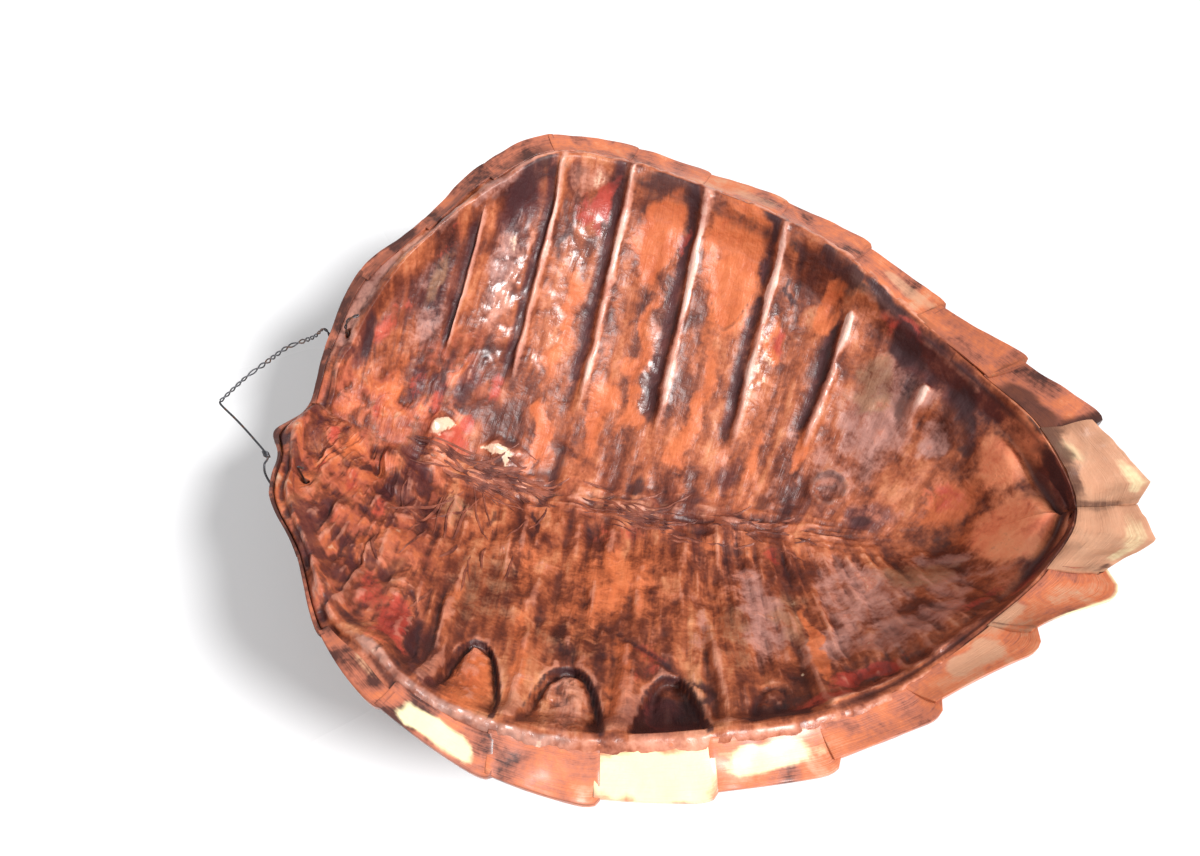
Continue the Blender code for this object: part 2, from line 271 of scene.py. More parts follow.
    def rim_edge(self, u: np.ndarray, side: np.ndarray, scute: int | None = None) -> tuple[np.ndarray, np.ndarray]:
        """The rim's plain outer edge, and how far its teeth move it.

        Args:
            u: Rows of the rim.
            side: 1 on the far side, -1 on the near side.
            scute: The marginal scute that the rim belongs to.

        Returns:
            The edge's points without teeth, and the teeth's shifts.
        """
        reach_out = self.tooth_at(u, scute)
        u = np.clip(u, 0.0, len(self.edge) - 1.0)
        plain = self.along_rim(self.edge, u)
        ahead = self.along_rim(self.edge, u + 0.02) - self.along_rim(self.edge, u - 0.02)
        flat = ahead[:, :2] / np.linalg.norm(ahead[:, :2], axis=1)[:, None]
        out = np.stack((-flat[:, 1], flat[:, 0], np.full(len(u), -self.tooth_droop)), axis=1)
        shift = out * reach_out[:, None]
        across, spread, reach = self.nape_lump
        plain[:, 1] *= side
        shift[:, 1] *= side
        shift[:, 0] -= reach * bell((plain[:, 1] - across) / spread) * smooth((5.0 - u) / 3.0)
        return plain, shift

    def inside(self, u: np.ndarray, t: np.ndarray, side: np.ndarray) -> np.ndarray:
        """The plain inside wall, from the spine at t = 0 to the ridge of the rim at t = 1.

        Args:
            u: Rows of the rim.
            t: Shares from spine to ridge.
            side: 1 on the far side, -1 on the near side.

        Returns:
            The wall's points.
        """
        ridge = self.rim_ridge(u, side)
        spine_x = self.along_values(self.spine_inside, u)
        floor = self.height_at(self.floor_inside, spine_x)
        face = self.along_values(self.ridge_face, u) * smooth(u / 1.5)
        place = np.empty_like(ridge)
        place[:, 0] = spine_x + (ridge[:, 0] - spine_x) * t
        place[:, 1] = ridge[:, 1] * t
        place[:, 2] = floor + (ridge[:, 2] - face - floor) * t ** self.wall_bend + face * smooth((t - 0.90) / 0.10)
        return place

    def rim(self, u: np.ndarray, share: np.ndarray, side: np.ndarray, scute: int | None = None) -> np.ndarray:
        """The flat of the rim, from its inner ridge to its outer edge.

        Args:
            u: Rows of the rim.
            share: 0 at the inner ridge and 1 at the outer edge.
            side: 1 on the far side, -1 on the near side.
            scute: The marginal scute that the rim belongs to.

        Returns:
            The flat's points.
        """
        ridge = self.rim_ridge(u, side)
        plain, shift = self.rim_edge(u, side, scute)
        place = ridge + (plain + shift - ridge) * share[:, None]
        place[:, 2] -= self.rim_sag * np.sin(np.pi * share) * smooth(u / 2.0)
        return place

    def outside(self, u: np.ndarray, t: np.ndarray, side: np.ndarray, scute: int | None = None) -> np.ndarray:
        """The back, without its scutes' steps, from the keel at t = 0 to the underside of the edge at t = 1.

        Args:
            u: Rows of the rim.
            t: Shares from keel to edge.
            side: 1 on the far side, -1 on the near side.
            scute: The marginal scute that the rim belongs to.

        Returns:
            The back's points.
        """
        plain, shift = self.rim_edge(u, side, scute)
        keel_x = self.along_values(self.spine_outside, u)
        keel_z = self.height_at(self.floor_outside, keel_x)
        bend = self.outer_bend + self.keel_blunt * (1.0 - t) ** 3
        place = np.empty_like(plain)
        place[:, 0] = keel_x + (plain[:, 0] - keel_x) * t
        place[:, 1] = plain[:, 1] * t
        place[:, 2] = keel_z + (plain[:, 2] - self.edge_thick - keel_z) * t ** bend
        return place + shift * smooth((t - 0.82) / 0.18)[:, None]

    def under_rim(
        self, place: np.ndarray, u: np.ndarray, side: np.ndarray, gap: float, scute: int | None = None
    ) -> np.ndarray:
        """Keeps points of the back under the flat of the rim.

        Args:
            place: Points of the back.
            u: Their rows of the rim.
            side: 1 on the far side, -1 on the near side.
            gap: The least distance under the rim.
            scute: The marginal scute that the rim belongs to.

        Returns:
            The points, lowered where they came too near.
        """
        ridge = self.rim_ridge(u, side)
        plain, shift = self.rim_edge(u, side, scute)
        span = (plain + shift - ridge)[:, :2]
        share = np.einsum("ij,ij->i", place[:, :2] - ridge[:, :2], span) / np.einsum("ij,ij->i", span, span)
        top = self.rim(u, np.clip(share, 0.0, 1.0), side, scute)[:, 2] - gap
        lowered = place.copy()
        lowered[:, 2] = np.where(share > 0.05, np.minimum(place[:, 2], top), place[:, 2])
        return lowered


FORM = ShellForm()


# ------------------------ patches of colour and relief


@dataclass(frozen=True)
class Patch:
    """A soft-edged patch on the inside.

    Its numbers are the row of the rim, the share from spine to ridge (negative on the near side), the half sizes
    along and across, the strength, and how much it leans.
    """

    u: float
    v: float
    half_u: float
    half_v: float
    strength: float = 1.0
    lean: float = 0.0

    def cover(self, u: np.ndarray, v: np.ndarray) -> np.ndarray:
        """How much the patch covers points.

        Args:
            u: Rows of the rim.
            v: Shares from spine to ridge, negative on the near side.

        Returns:
            From 0 to the patch's strength.
        """
        du = (u - self.u) / self.half_u
        dv = (v - self.v - self.lean * (u - self.u)) / self.half_v
        return self.strength * smooth(SOFT_REACH - np.hypot(du, dv))


def patches(*rows: tuple[float, ...]) -> tuple[Patch, ...]:
    """Patches from rows of their numbers."""
    return tuple(Patch(*row) for row in rows)


def covered(group: tuple[Patch, ...], u: np.ndarray, v: np.ndarray) -> np.ndarray:
    """The strongest of several patches at each point.

    Args:
        group: The patches.
        u: Rows of the rim.
        v: Shares from spine to ridge, negative on the near side.

    Returns:
        One number a point, 0 where there is no patch.
    """
    total = np.zeros(len(u))
    for patch in group:
        total = np.maximum(total, patch.cover(u, v))
    return total


@dataclass(frozen=True)
class InsideStains:
    """Where the inside has its marked colours and its darker places, place by place."""

    # darker plum patches: partly stains, partly painted shade under the rim's ridge and in the near pockets
    shade: tuple[Patch, ...] = patches(
        (2.5, 0.8, 1.1, 0.17, 0.8), (4.45, 0.82, 0.42, 0.22, 0.8), (4.5, 0.5, 0.36, 0.2, 0.35),
        (10.3, 0.88, 0.9, 0.15, 0.6), (11.45, 0.8, 0.4, 0.11, 0.9), (8.75, 0.68, 0.3, 0.14, 0.5),
        (8.35, 0.84, 0.14, 0.12, 0.6), (8, 0.55, 0.16, 0.16, 0.6), (9.7, 0.16, 0.9, 0.14, 0.65),
        (7.9, 0.02, 1.3, 0.09, 0.7), (4.6, -0.4, 0.5, 0.22, 0.35), (4.6, -0.84, 0.6, 0.18, 0.8),
        (5.15, -0.985, 0.5, 0.02, 0.9), (8.75, -0.9, 0.42, 0.08, 0.8), (8.7, -0.22, 1.2, 0.1, 0.6),
        (10.2, -0.84, 1.3, 0.12, 0.5), (11.6, -0.76, 0.7, 0.14, 0.5), (6, -0.28, 0.12, 0.26, 0.5),
        (5.05, -0.42, 0.13, 0.3, 0.5), (7.55, -0.62, 0.1, 0.22, 0.6), (12.6, 0.8, 0.5, 0.12, 0.5),
        (6.75, 0.96, 0.4, 0.06, 0.6), (1.6, -0.6, 0.25, 0.3, 0.5), (3.2, -0.62, 0.25, 0.16, 0.45),
        (4.75, 0.22, 0.4, 0.07, 0.5), (3.4, 0.72, 0.5, 0.22, 0.8), (2.2, 0.62, 0.5, 0.14, 0.6), (4.5, 0.93, 0.5, 0.1),
        (10.9, 0.9, 1.4, 0.1), (1.4, 0.86, 0.5, 0.18, 0.9), (7.66, -0.9, 0.32, 0.09), (7.15, 0.14, 0.28, 0.07, 0.5),
        (9.9, -0.62, 0.2, 0.12, 0.3), (10.65, 0.16, 0.42, 0.14, 0.95), (8.58, 0.88, 0.1, 0.08, 0.7),
        (5.28, 0.96, 0.09, 0.05, 0.8), (4.44, 0.31, 0.2, 0.08, 0.95), (6.3, 0.42, 0.12, 0.1, 0.6),
        (8.2, 0.18, 0.22, 0.08, 0.85),
    )
    black: tuple[Patch, ...] = patches(
        # far wall, under the rim: dark stains, with painted shadow along the line under the rim's ridge
        (1.6, 0.86, 0.26, 0.12), (4.45, 0.95, 0.3, 0.06, 0.8), (3.65, 0.93, 0.1, 0.1, 0.7), (4.8, 1.02, 0.22, 0.05),
        (6.7, 0.99, 0.42, 0.04, 0.9), (7.05, 0.93, 0.08, 0.08, 0.8), (5.75, 0.79, 0.15, 0.05, 0.75),
        (5.33, 0.82, 0.08, 0.1, 0.8), (8.05, 1, 0.16, 0.05), (8.42, 0.87, 0.05, 0.08, 0.9),
        (8.6, 0.78, 0.16, 0.02, 0.6, -0.35), (9.05, 0.98, 0.26, 0.05), (9.6, 0.985, 0.4, 0.045),
        (10.1, 0.9, 0.3, 0.05), (10.9, 0.88, 0.26, 0.08, 0.9), (11.15, 0.8, 0.22, 0.06, 0.85),
        (11.3, 0.7, 0.16, 0.05, 0.8), (12, 1.02, 0.3, 0.05, 0.8), (8.78, 1, 0.14, 0.04, 0.9),
        # beside the ribs, lower on the far wall: dark stains, with painted shadow before the ribs
        (3.95, 0.36, 0.12, 0.12, 0.7), (8.02, 0.57, 0.08, 0.11, 0.55), (7, 0.5, 0.05, 0.14, 0.5),
        (5.98, 0.5, 0.05, 0.12, 0.5), (4.5, 0.27, 0.13, 0.04, 0.7), (10.6, 0.13, 0.2, 0.05, 0.7),
        (7.98, -0.8, 0.1, 0.05, 0.8),
        # along the spine
        (5.95, 0.12, 0.1, 0.2, 0.6), (6.8, 0, 0.1, 0.03, 0.8), (7.1, 0.08, 0.12, 0.04, 0.8),
        (7.9, 0.09, 0.12, 0.05, 0.6), (8.9, 0.12, 0.13, 0.05, 0.6), (7.95, -0.05, 0.12, 0.05, 0.7),
        (8.6, -0.1, 0.2, 0.05, 0.6), (3.7, -0.2, 0.18, 0.07, 0.9), (2.75, -0.26, 0.14, 0.07, 0.9),
        # near wall
        (2.8, -0.78, 0.12, 0.1, 0.6), (5.4, -0.17, 0.06, 0.06, 0.8), (6, -0.15, 0.06, 0.09, 0.9),
        (4.85, -0.88, 0.09, 0.12, 1, 0.12), (4.1, -0.97, 0.3, 0.03, 0.8), (7.1, -0.55, 0.09, 0.08, 0.6),
        (9, -0.95, 0.18, 0.04), (7.72, -0.88, 0.3, 0.09, 0.9), (12.4, -0.93, 0.6, 0.03, 0.8), (12.5, 0.94, 0.5, 0.04),
        (8.72, -0.935, 0.32, 0.05, 0.95), (5.55, -0.72, 0.2, 0.02, 0.5),
    )
    red: tuple[Patch, ...] = patches(
        (5.79, 0.895, 0.16, 0.065, 0.85), (5.56, 0.905, 0.14, 0.05, 0.75), (5.86, 0.94, 0.1, 0.04, 0.75),
        (10, 0.94, 0.34, 0.03, 0.7), (4.5, -0.87, 0.25, 0.13), (4.15, -0.8, 0.2, 0.09, 0.5),
        (9.8, -0.87, 0.55, 0.04, 0.9), (9.2, -0.93, 0.4, 0.04, 0.7), (11.3, -0.8, 0.4, 0.05, 0.6),
        (7.35, -0.7, 0.2, 0.07, 0.4), (3.3, 0.93, 0.2, 0.06, 0.4), (2.2, 0.25, 0.3, 0.1, 0.45),
        (3.35, 0.33, 0.2, 0.08, 0.5), (3.9, 0.26, 0.2, 0.06, 0.45), (1.2, -0.35, 0.25, 0.15, 0.5),
        (3.6, -0.4, 0.2, 0.1, 0.45), (4.66, 0.17, 0.1, 0.04, 0.6), (4.95, 0.3, 0.14, 0.07, 0.55),
        (2.9, -0.7, 0.2, 0.1, 0.4), (2.3, 0.8, 0.6, 0.12, 0.35), (6.98, 0.9, 0.06, 0.07, 0.7),
        (8.5, 0.7, 0.1, 0.06, 0.6), (2.7, -0.45, 0.25, 0.1, 0.5), (9.1, -0.12, 0.15, 0.06, 0.6),
        (4.5, 0.1, 0.4, 0.05, 0.5), (1.9, -0.62, 0.12, 0.06, 0.6), (11.55, 0.4, 0.35, 0.12, 0.5),
        (12.1, -0.93, 0.5, 0.05, 0.5), (6.8, -0.12, 0.5, 0.05, 0.3), (7.6, -0.9, 0.25, 0.08, 0.5),
    )
    orange: tuple[Patch, ...] = patches(
        (6.66, 0.85, 0.28, 0.15, 1.2), (7.66, 0.84, 0.36, 0.19, 1.2), (8.92, 0.89, 0.15, 0.09, 0.95),
        (6.75, 0.5, 0.11, 0.28, 0.75), (5.68, 0.55, 0.12, 0.2, 0.7), (8.4, 0.68, 0.1, 0.09, 0.95),
        (5.72, 0.2, 0.13, 0.12), (5.92, 0.13, 0.12, 0.05, 0.8), (4.5, 0.15, 0.26, 0.06, 0.65),
        (7.6, 0.45, 0.12, 0.2, 0.7), (6.4, 0.3, 0.14, 0.16, 0.8), (9.2, 0.36, 0.1, 0.12, 0.8),
        (11.9, 0.78, 0.6, 0.22, 0.5), (12.3, 0, 0.6, 0.42, 0.6), (11.6, 0.34, 0.42, 0.2, 0.85),
        (7, -0.35, 0.2, 0.2, 0.7), (9.38, -0.66, 0.09, 0.22, 1.2), (3.1, -0.24, 0.2, 0.12, 0.6),
        (2.6, 0.34, 0.5, 0.2, 0.6), (6.1, -0.72, 0.1, 0.2, 0.7), (7.15, -0.74, 0.1, 0.2, 0.7),
        (2, -0.22, 0.3, 0.16, 0.7), (3.7, -0.68, 0.16, 0.1, 0.6), (8.2, -0.1, 0.2, 0.05, 0.5),
        (5.2, -0.62, 0.14, 0.1, 0.5), (6.7, -0.45, 0.28, 0.22, 0.45), (7.35, -0.3, 0.2, 0.2, 0.45),
        (6, -0.4, 0.14, 0.2, 0.4), (7.5, 0.26, 0.12, 0.12, 0.7), (8.5, 0.28, 0.12, 0.1, 0.6),
        (1.9, -0.8, 0.2, 0.15, 0.5),
    )
    mauve: tuple[Patch, ...] = patches(
        (10.1, 0.62, 0.5, 0.24, 0.75), (8.8, -0.44, 0.36, 0.24, 0.66), (10.3, -0.4, 0.7, 0.3, 0.62),
        (8, -0.47, 0.12, 0.18, 0.4), (9.9, 0.34, 0.5, 0.14, 0.5), (11.4, -0.5, 0.5, 0.2, 0.5),
        (9, 0.35, 0.1, 0.25, 0.4), (5.45, 0.93, 0.1, 0.06, 0.5), (2.9, 0.86, 0.3, 0.06, 0.5),
        (4.4, 0.72, 0.3, 0.16, 0.6), (10.3, 0.78, 0.4, 0.08, 0.6), (6.9, 0.62, 0.1, 0.1, 0.4),
        (3.2, 0.62, 0.4, 0.12, 0.48), (9.6, -0.66, 0.5, 0.12, 0.6), (1.8, 1.07, 0.8, 0.06, 0.8),
        (10.6, -0.72, 0.6, 0.12, 0.7), (11.6, -0.22, 0.34, 0.12, 0.7), (10.9, 0.7, 0.14, 0.1, 0.7),
        (4, 1, 0.5, 0.03, 0.6),
    )
    olive: tuple[Patch, ...] = patches(
        (3.2, 0.8, 0.22, 0.1, 0.7), (9.9, 0.72, 0.3, 0.12, 0.8), (5.5, -0.5, 0.5, 0.18, 0.5),
        (8.4, -0.56, 0.18, 0.2, 0.5), (11.2, -0.34, 0.5, 0.14, 0.6), (4.8, -0.2, 0.3, 0.08, 0.6),
        (8.75, 0.84, 0.14, 0.14, 0.3), (6.6, -0.62, 0.35, 0.1, 0.4), (9.2, -0.5, 0.3, 0.2, 0.5),
    )
    pink: tuple[Patch, ...] = patches(
        (5.42, 0.955, 0.2, 0.045, 0.6), (5.64, 0.972, 0.18, 0.035, 0.6), (4.66, 0.73, 0.12, 0.05, 0.6),
        (3.1, 1.02, 0.7, 0.035, 0.7), (4.58, 0.62, 0.17, 0.12, 0.7), (4.82, 0.8, 0.1, 0.06, 0.6),
        (1.6, 1.05, 0.5, 0.04, 0.6),
    )
    gloss: tuple[Patch, ...] = patches(
        (4.5, 0.66, 0.34, 0.18, 1.2), (4.75, 0.6, 0.2, 0.22), (5.65, 0.8, 0.28, 0.1), (5.5, 0.52, 0.1, 0.16, 0.7),
        (4.2, 0.12, 0.2, 0.06), (5.3, 0.12, 0.2, 0.04), (6.85, 0.45, 0.08, 0.25, 0.7), (8.3, 0.6, 0.08, 0.16, 0.7),
        (9.3, 0.62, 0.1, 0.2, 0.8), (2.4, 0.85, 0.5, 0.1, 0.5), (10.4, 0.75, 0.12, 0.1, 0.7),
        (1.2, 0.7, 0.5, 0.2, 0.4),
    )
    # the first two patches are painted highlights, glare on two lumps of tissue, and (9.27, 0.63) is a painted glint on
    # a rib's crest
    pale: tuple[Patch, ...] = patches(
        (4.27, 0.13, 0.22, 0.05), (5.25, 0.115, 0.22, 0.018, 0.95), (9.12, -0.75, 0.03, 0.02),
        (3.1, -0.22, 0.08, 0.04, 0.5), (3.75, -0.7, 0.08, 0.04, 0.6), (8.35, 0.62, 0.06, 0.08, 0.5),
        (5.65, 0.97, 0.12, 0.03, 0.5), (5.5, 0.74, 0.12, 0.03, 0.5), (4.5, 0.8, 0.14, 0.06, 0.4),
        (1.75, -0.3, 0.1, 0.08, 0.4), (9.3, -0.46, 0.05, 0.12, 0.3), (9.27, 0.63, 0.05, 0.08, 0.6),
    )


# ------------------------ shader maths


class Value:
    """A number in a node tree. Python's operators on it add Math nodes."""

    def __init__(self, graph: "Graph", socket: bpy.types.NodeSocket) -> None:
        """Wraps an output socket of a graph."""
        self.graph = graph
        self.socket = socket

    def _math(self, operation: str, *terms: "Value | float") -> "Value":
        """Adds one Math node."""
        node = self.graph.node("ShaderNodeMath", {"operation": operation}, dict(enumerate(terms)))
        return Value(self.graph, node.outputs[0])

    def __add__(self, other: "Value | float") -> "Value":
        """Sum."""
        return self._math("ADD", self, other)

    def __sub__(self, other: "Value | float") -> "Value":
        """Difference."""
        return self._math("SUBTRACT", self, other)

    def __rsub__(self, other: float) -> "Value":
        """Difference from a number."""
        return self._math("SUBTRACT", other, self)

    def __mul__(self, other: "Value | float") -> "Value":
        """Product."""
        return self._math("MULTIPLY", self, other)

    def top(self, other: "Value | float") -> "Value":
        """The larger of two."""
        return self._math("MAXIMUM", self, other)

    __radd__ = __add__


class Graph:
    """A material's nodes, with short calls for the kinds that this object uses."""

    def __init__(self, name: str) -> None:
        """Makes an empty material.

        Args:
            name: The material's name.
        """
        self.material = bpy.data.materials.new(name)
        self.material.use_nodes = True
        self.tree = self.material.node_tree
        self.tree.nodes.clear()

    def node(self, kind: str, settings: dict | None = None, sockets: dict | None = None) -> bpy.types.Node:
        """Adds a node.

        Args:
            kind: The node's type.
            settings: Its properties; "stops" sets a colour ramp's stops.
            sockets: Values or links of its inputs, by name or number.

        Returns:
            The node.
        """
        made = self.tree.nodes.new(kind)
        for key, value in (settings or {}).items():
            if key == "stops":
                elements = made.color_ramp.elements
                while len(elements) < len(value):
                    elements.new(1.0)
                for element, (position, colour) in zip(elements, value):
                    element.position = position
                    element.color = (*colour, 1.0)
            else:
                setattr(made, key, value)
        for key, value in (sockets or {}).items():
            if isinstance(value, Value):
                self.tree.links.new(value.socket, made.inputs[key])
            elif isinstance(value, bpy.types.NodeSocket):
                self.tree.links.new(value, made.inputs[key])
            elif isinstance(value, tuple) and made.inputs[key].type == "RGBA":
                made.inputs[key].default_value = (*value[:3], 1.0)
            else:
                made.inputs[key].default_value = value
        return made

    def attribute(self, name: str) -> Value:
        """A number stored on the mesh."""
        return Value(self, self.node("ShaderNodeAttribute", {"attribute_name": name}).outputs["Fac"])

    def object_place(self, stretch: Row = (1.0, 1.0, 1.0), shift: float = 0.0) -> bpy.types.NodeSocket:
        """The object's own coordinates in metres, stretched and shifted."""
        coordinate = self.node("ShaderNodeTexCoord").outputs["Object"]
        return self.mapped(coordinate, stretch, shift)

    def uv_place(self, stretch: Row, shift: float = 0.0) -> bpy.types.NodeSocket:
        """The coordinates that follow the grain, stretched and shifted."""
        coordinate = self.node("ShaderNodeUVMap", {"uv_map": "grain"}).outputs["UV"]
        return self.mapped(coordinate, stretch, shift)

    def mapped(self, coordinate: bpy.types.NodeSocket, stretch: Row, shift: float) -> bpy.types.NodeSocket:
        """A Mapping node."""
        sockets = {"Vector": coordinate, "Scale": stretch, "Location": (shift, shift * 0.7, shift * 1.3)}
        return self.node("ShaderNodeMapping", None, sockets).outputs[0]

    def noise(self, place: bpy.types.NodeSocket, scale: float, detail: float = 3.0, twist: float = 0.0) -> Value:
        """Noise from 0 to 1."""
        sockets = {"Vector": place, "Scale": scale, "Detail": detail, "Distortion": twist}
        return Value(self, self.node("ShaderNodeTexNoise", None, sockets).outputs[0])

    @staticmethod
    def sway(*parts: tuple[Value, float]) -> Value:
        """Adds up noises as they swing around their middle.

        Args:
            *parts: Each noise and its weight.

        Returns:
            Their sum, around 0.
        """
        total = (parts[0][0] - 0.5) * parts[0][1]
        for value, weight in parts[1:]:
            total = total + (value - 0.5) * weight
        return total

    def step(self, value: Value, low: float, high: float) -> Value:
        """A smooth step from 0 at low to 1 at high.

        Args:
            value: The number that is stepped.
            low: Where the step starts.
            high: Where it ends.

        Returns:
            The step.
        """
        settings = {"interpolation_type": "SMOOTHSTEP", "clamp": True}
        sockets = {"Value": value, "From Min": low, "From Max": high}
        return Value(self, self.node("ShaderNodeMapRange", settings, sockets).outputs[0])

    def ramp(self, value: Value, *stops: tuple[float, Colour]) -> bpy.types.NodeSocket:
        """A colour from a number."""
        return self.node("ShaderNodeValToRGB", {"stops": stops}, {0: value}).outputs["Color"]

    def mix(
        self, below: bpy.types.NodeSocket | Colour, above: bpy.types.NodeSocket | Colour, share: Value | float,
        blend: str = "MIX",
    ) -> bpy.types.NodeSocket:
        """One colour over another.

        Args:
            below: The lower colour.
            above: The upper colour.
            share: How much of the upper one shows.
            blend: How the two are mixed.

        Returns:
            The mixed colour.
        """
        colours = [(*c, 1.0) if isinstance(c, tuple) else c for c in (below, above)]
        settings = {"data_type": "RGBA", "blend_type": blend, "clamp_factor": True}
        made = self.node("ShaderNodeMix", settings, {0: share, 6: colours[0], 7: colours[1]})
        return made.outputs[2]

    def bumped(self, height: Value, strength: float, distance: float) -> bpy.types.NodeSocket:
        """A normal that follows a height."""
        sockets = {"Height": height, "Strength": strength, "Distance": distance}
        return self.node("ShaderNodeBump", None, sockets).outputs[0]

    def finish(self, **sockets: object) -> bpy.types.Material:
        """Adds the shader and the output.

        Args:
            **sockets: The shader's inputs, with _ for each space.

        Returns:
            The material.
        """
        named = {key.replace("_", " "): value for key, value in sockets.items()}
        shader = self.node("ShaderNodeBsdfPrincipled", None, named)
        self.node("ShaderNodeOutputMaterial", None, {"Surface": shader.outputs[0]})
        return self.material


# ------------------------ finishes


@dataclass(frozen=True)
class BoneFinish:
    """Varnished bone and dried tissue on the inside of the shell."""

    umber: Colour = (0.052, 0.014, 0.012)
    rust: Colour = (0.17, 0.040, 0.019)
    amber: Colour = (0.38, 0.100, 0.040)
    tan: Colour = (0.60, 0.235, 0.110)
    black: Colour = (0.042, 0.013, 0.015)
    red: Colour = (0.42, 0.050, 0.034)
    orange: Colour = (0.60, 0.150, 0.052)
    mauve: Colour = (0.41, 0.200, 0.165)
    olive: Colour = (0.30, 0.145, 0.080)
    cream: Colour = (0.90, 0.68, 0.48)
    rose: Colour = (0.62, 0.27, 0.19)
    # the lobes' salmon colour, made brighter as painted light on the tail's shaded inner wall
    peach: Colour = (0.96, 0.33, 0.165)
    # painted highlight along the ribs' crests
    bright: Colour = (0.92, 0.66, 0.56)
    plum: Colour = (0.080, 0.022, 0.026)
    salmon: Colour = (0.45, 0.112, 0.066)
    ash: Colour = (0.27, 0.150, 0.125)
    roughness: float = 0.42
    varnish: float = 0.08
    varnish_roughness: float = 0.27
    specular: float = 0.34

    def material(self) -> bpy.types.Material:
        """Builds the finish.

        Returns:
            The material.
        """
        g = Graph("varnished_bone")
        grained = 1.0 - g.attribute("calm")
        streak = 0.5 + (g.noise(g.uv_place((21.0, 3.2, 1.0)), 1.0, 3.0, 1.0) - 0.5) * grained
        stripe = 0.5 + (g.noise(g.uv_place((10.0, 2.4, 1.0), 6.0), 1.0, 3.0, 1.6) - 0.5) * grained
        band = 0.5 + (g.noise(g.uv_place((8.0, 0.9, 1.0), 11.0), 1.0, 1.0, 0.8) - 0.5) * grained
        fibre = 0.5 + (g.noise(g.uv_place((110.0, 9.0, 1.0), 4.0), 1.0, 4.0, 0.3) - 0.5) * grained
        cloud = g.noise(g.object_place(shift=9.0), 38.0, 4.0, 0.8)
        mottle = g.noise(g.object_place(shift=2.0), 110.0, 5.0, 0.5)
        grain = g.noise(g.object_place(shift=7.0), 520.0, 4.0)
        fray = g.sway((mottle, 0.8), (fibre, 0.3), (grain, 0.3), (cloud, 0.5))
        wood = 0.5 + g.sway((band, 0.75), (stripe, 0.45), (streak, 0.35), (mottle, 0.2), (cloud, 0.6), (grain, 0.2))
        # painted light on raised parts and painted shade in hollows; the shade mask darkens too
        wood = wood + g.attribute("raised") * 0.12 - g.attribute("shade") * 0.12 - g.attribute("hollow") * 0.12
        colour = g.ramp(wood, (0.21, self.umber), (0.41, self.rust), (0.56, self.amber), (0.76, self.tan))
        patchy = g.noise(g.object_place((1.0, 0.6, 1.0), 12.0), 62.0, 3.0, 0.6)
        # the tissue's colour, darkened in the hollows as painted shade
        flesh = g.ramp(
            patchy + (mottle - 0.5) * 0.5 - g.attribute("hollow") * 0.12, (0.39, self.plum), (0.48, self.rust),
            (0.57, self.salmon), (0.69, self.orange), (0.84, self.cream),
        )
        colour = g.mix(colour, flesh, g.attribute("flesh") * 0.75)
        # shade: dark stains, and painted shade under the rim, in the pockets, beside the ribs and around the tail's
        # lobes
        shaded = g.step(g.attribute("shade") + fray * 0.5, 0.45, 1.1)
        colour = g.mix(colour, self.plum, shaded * 0.75)
        for name, tint, low, high, most, ragged in (
            ("mauve", self.mauve, 0.20, 0.85, 0.90, 1.7), ("olive", self.olive, 0.20, 0.85, 0.85, 1.7),
            ("orange", self.orange, 0.15, 0.80, 0.92, 1.1), ("red", self.red, 0.22, 0.75, 0.92, 1.7),
            ("peach", self.peach, 0.0, 0.95, 0.88, 1.1), ("ash", self.ash, 0.25, 0.95, 0.75, 1.7),
            # crest: painted highlight along the ribs' crests
            ("rose", self.rose, 0.25, 0.90, 0.90, 1.1), ("crest", self.bright, 0.60, 1.10, 0.85, 1.1),
            ("pale", self.cream, 0.40, 0.75, 0.85, 1.7),
        ):
            cover = g.step(g.attribute(name) + fray * ragged, low, high)
            colour = g.mix(colour, tint, cover * most)
        flecks = g.step(grain + (mottle - 0.5) * 0.9, 0.60, 0.80) * 0.18
        colour = g.mix(colour, self.umber, flecks)
        # painted shade in the hollows, then painted light towards rose on the raised parts
        deep = g.step(g.attribute("hollow") + fray * 0.5, 0.25, 1.0) * 0.44
        colour = g.mix(colour, self.umber, deep)
        colour = g.mix(colour, self.rose, g.step(g.attribute("raised") + fray * 0.6, 0.45, 1.1) * 0.45)
        uneven = 0.5 + g.sway((mottle, 0.7), (cloud, 0.8), (grain, 0.35), (stripe, 0.3))
        tinge = g.ramp(uneven, (0.28, (0.33, 0.27, 0.27)), (0.50, (0.50, 0.50, 0.50)), (0.74, (0.66, 0.68, 0.70)))
        colour = g.mix(colour, tinge, 0.60, "OVERLAY")
        stain = g.step(g.attribute("black") + fray * 1.1, 0.32, 0.95)
        colour = g.mix(colour, self.black, stain * 0.92)
        gloss = g.attribute("gloss").top(g.attribute("rose") * 0.6)
        height = fibre * 0.22 + grain * 0.15 + mottle * (0.7 - gloss * 0.45) + streak * 0.3 + cloud * gloss * 1.6
        rough = self.roughness + g.sway((grain, 0.25), (mottle, 0.25)) - gloss * 0.20 + stain * 0.12
        coat = (self.varnish + gloss * 0.80) * (1.0 - stain * 0.75)
        return g.finish(
            Base_Color=colour, Roughness=rough, Normal=g.bumped(height, 0.7, 0.0020), Coat_Weight=coat,
            Coat_Roughness=self.varnish_roughness, Specular_IOR_Level=self.specular,
        )


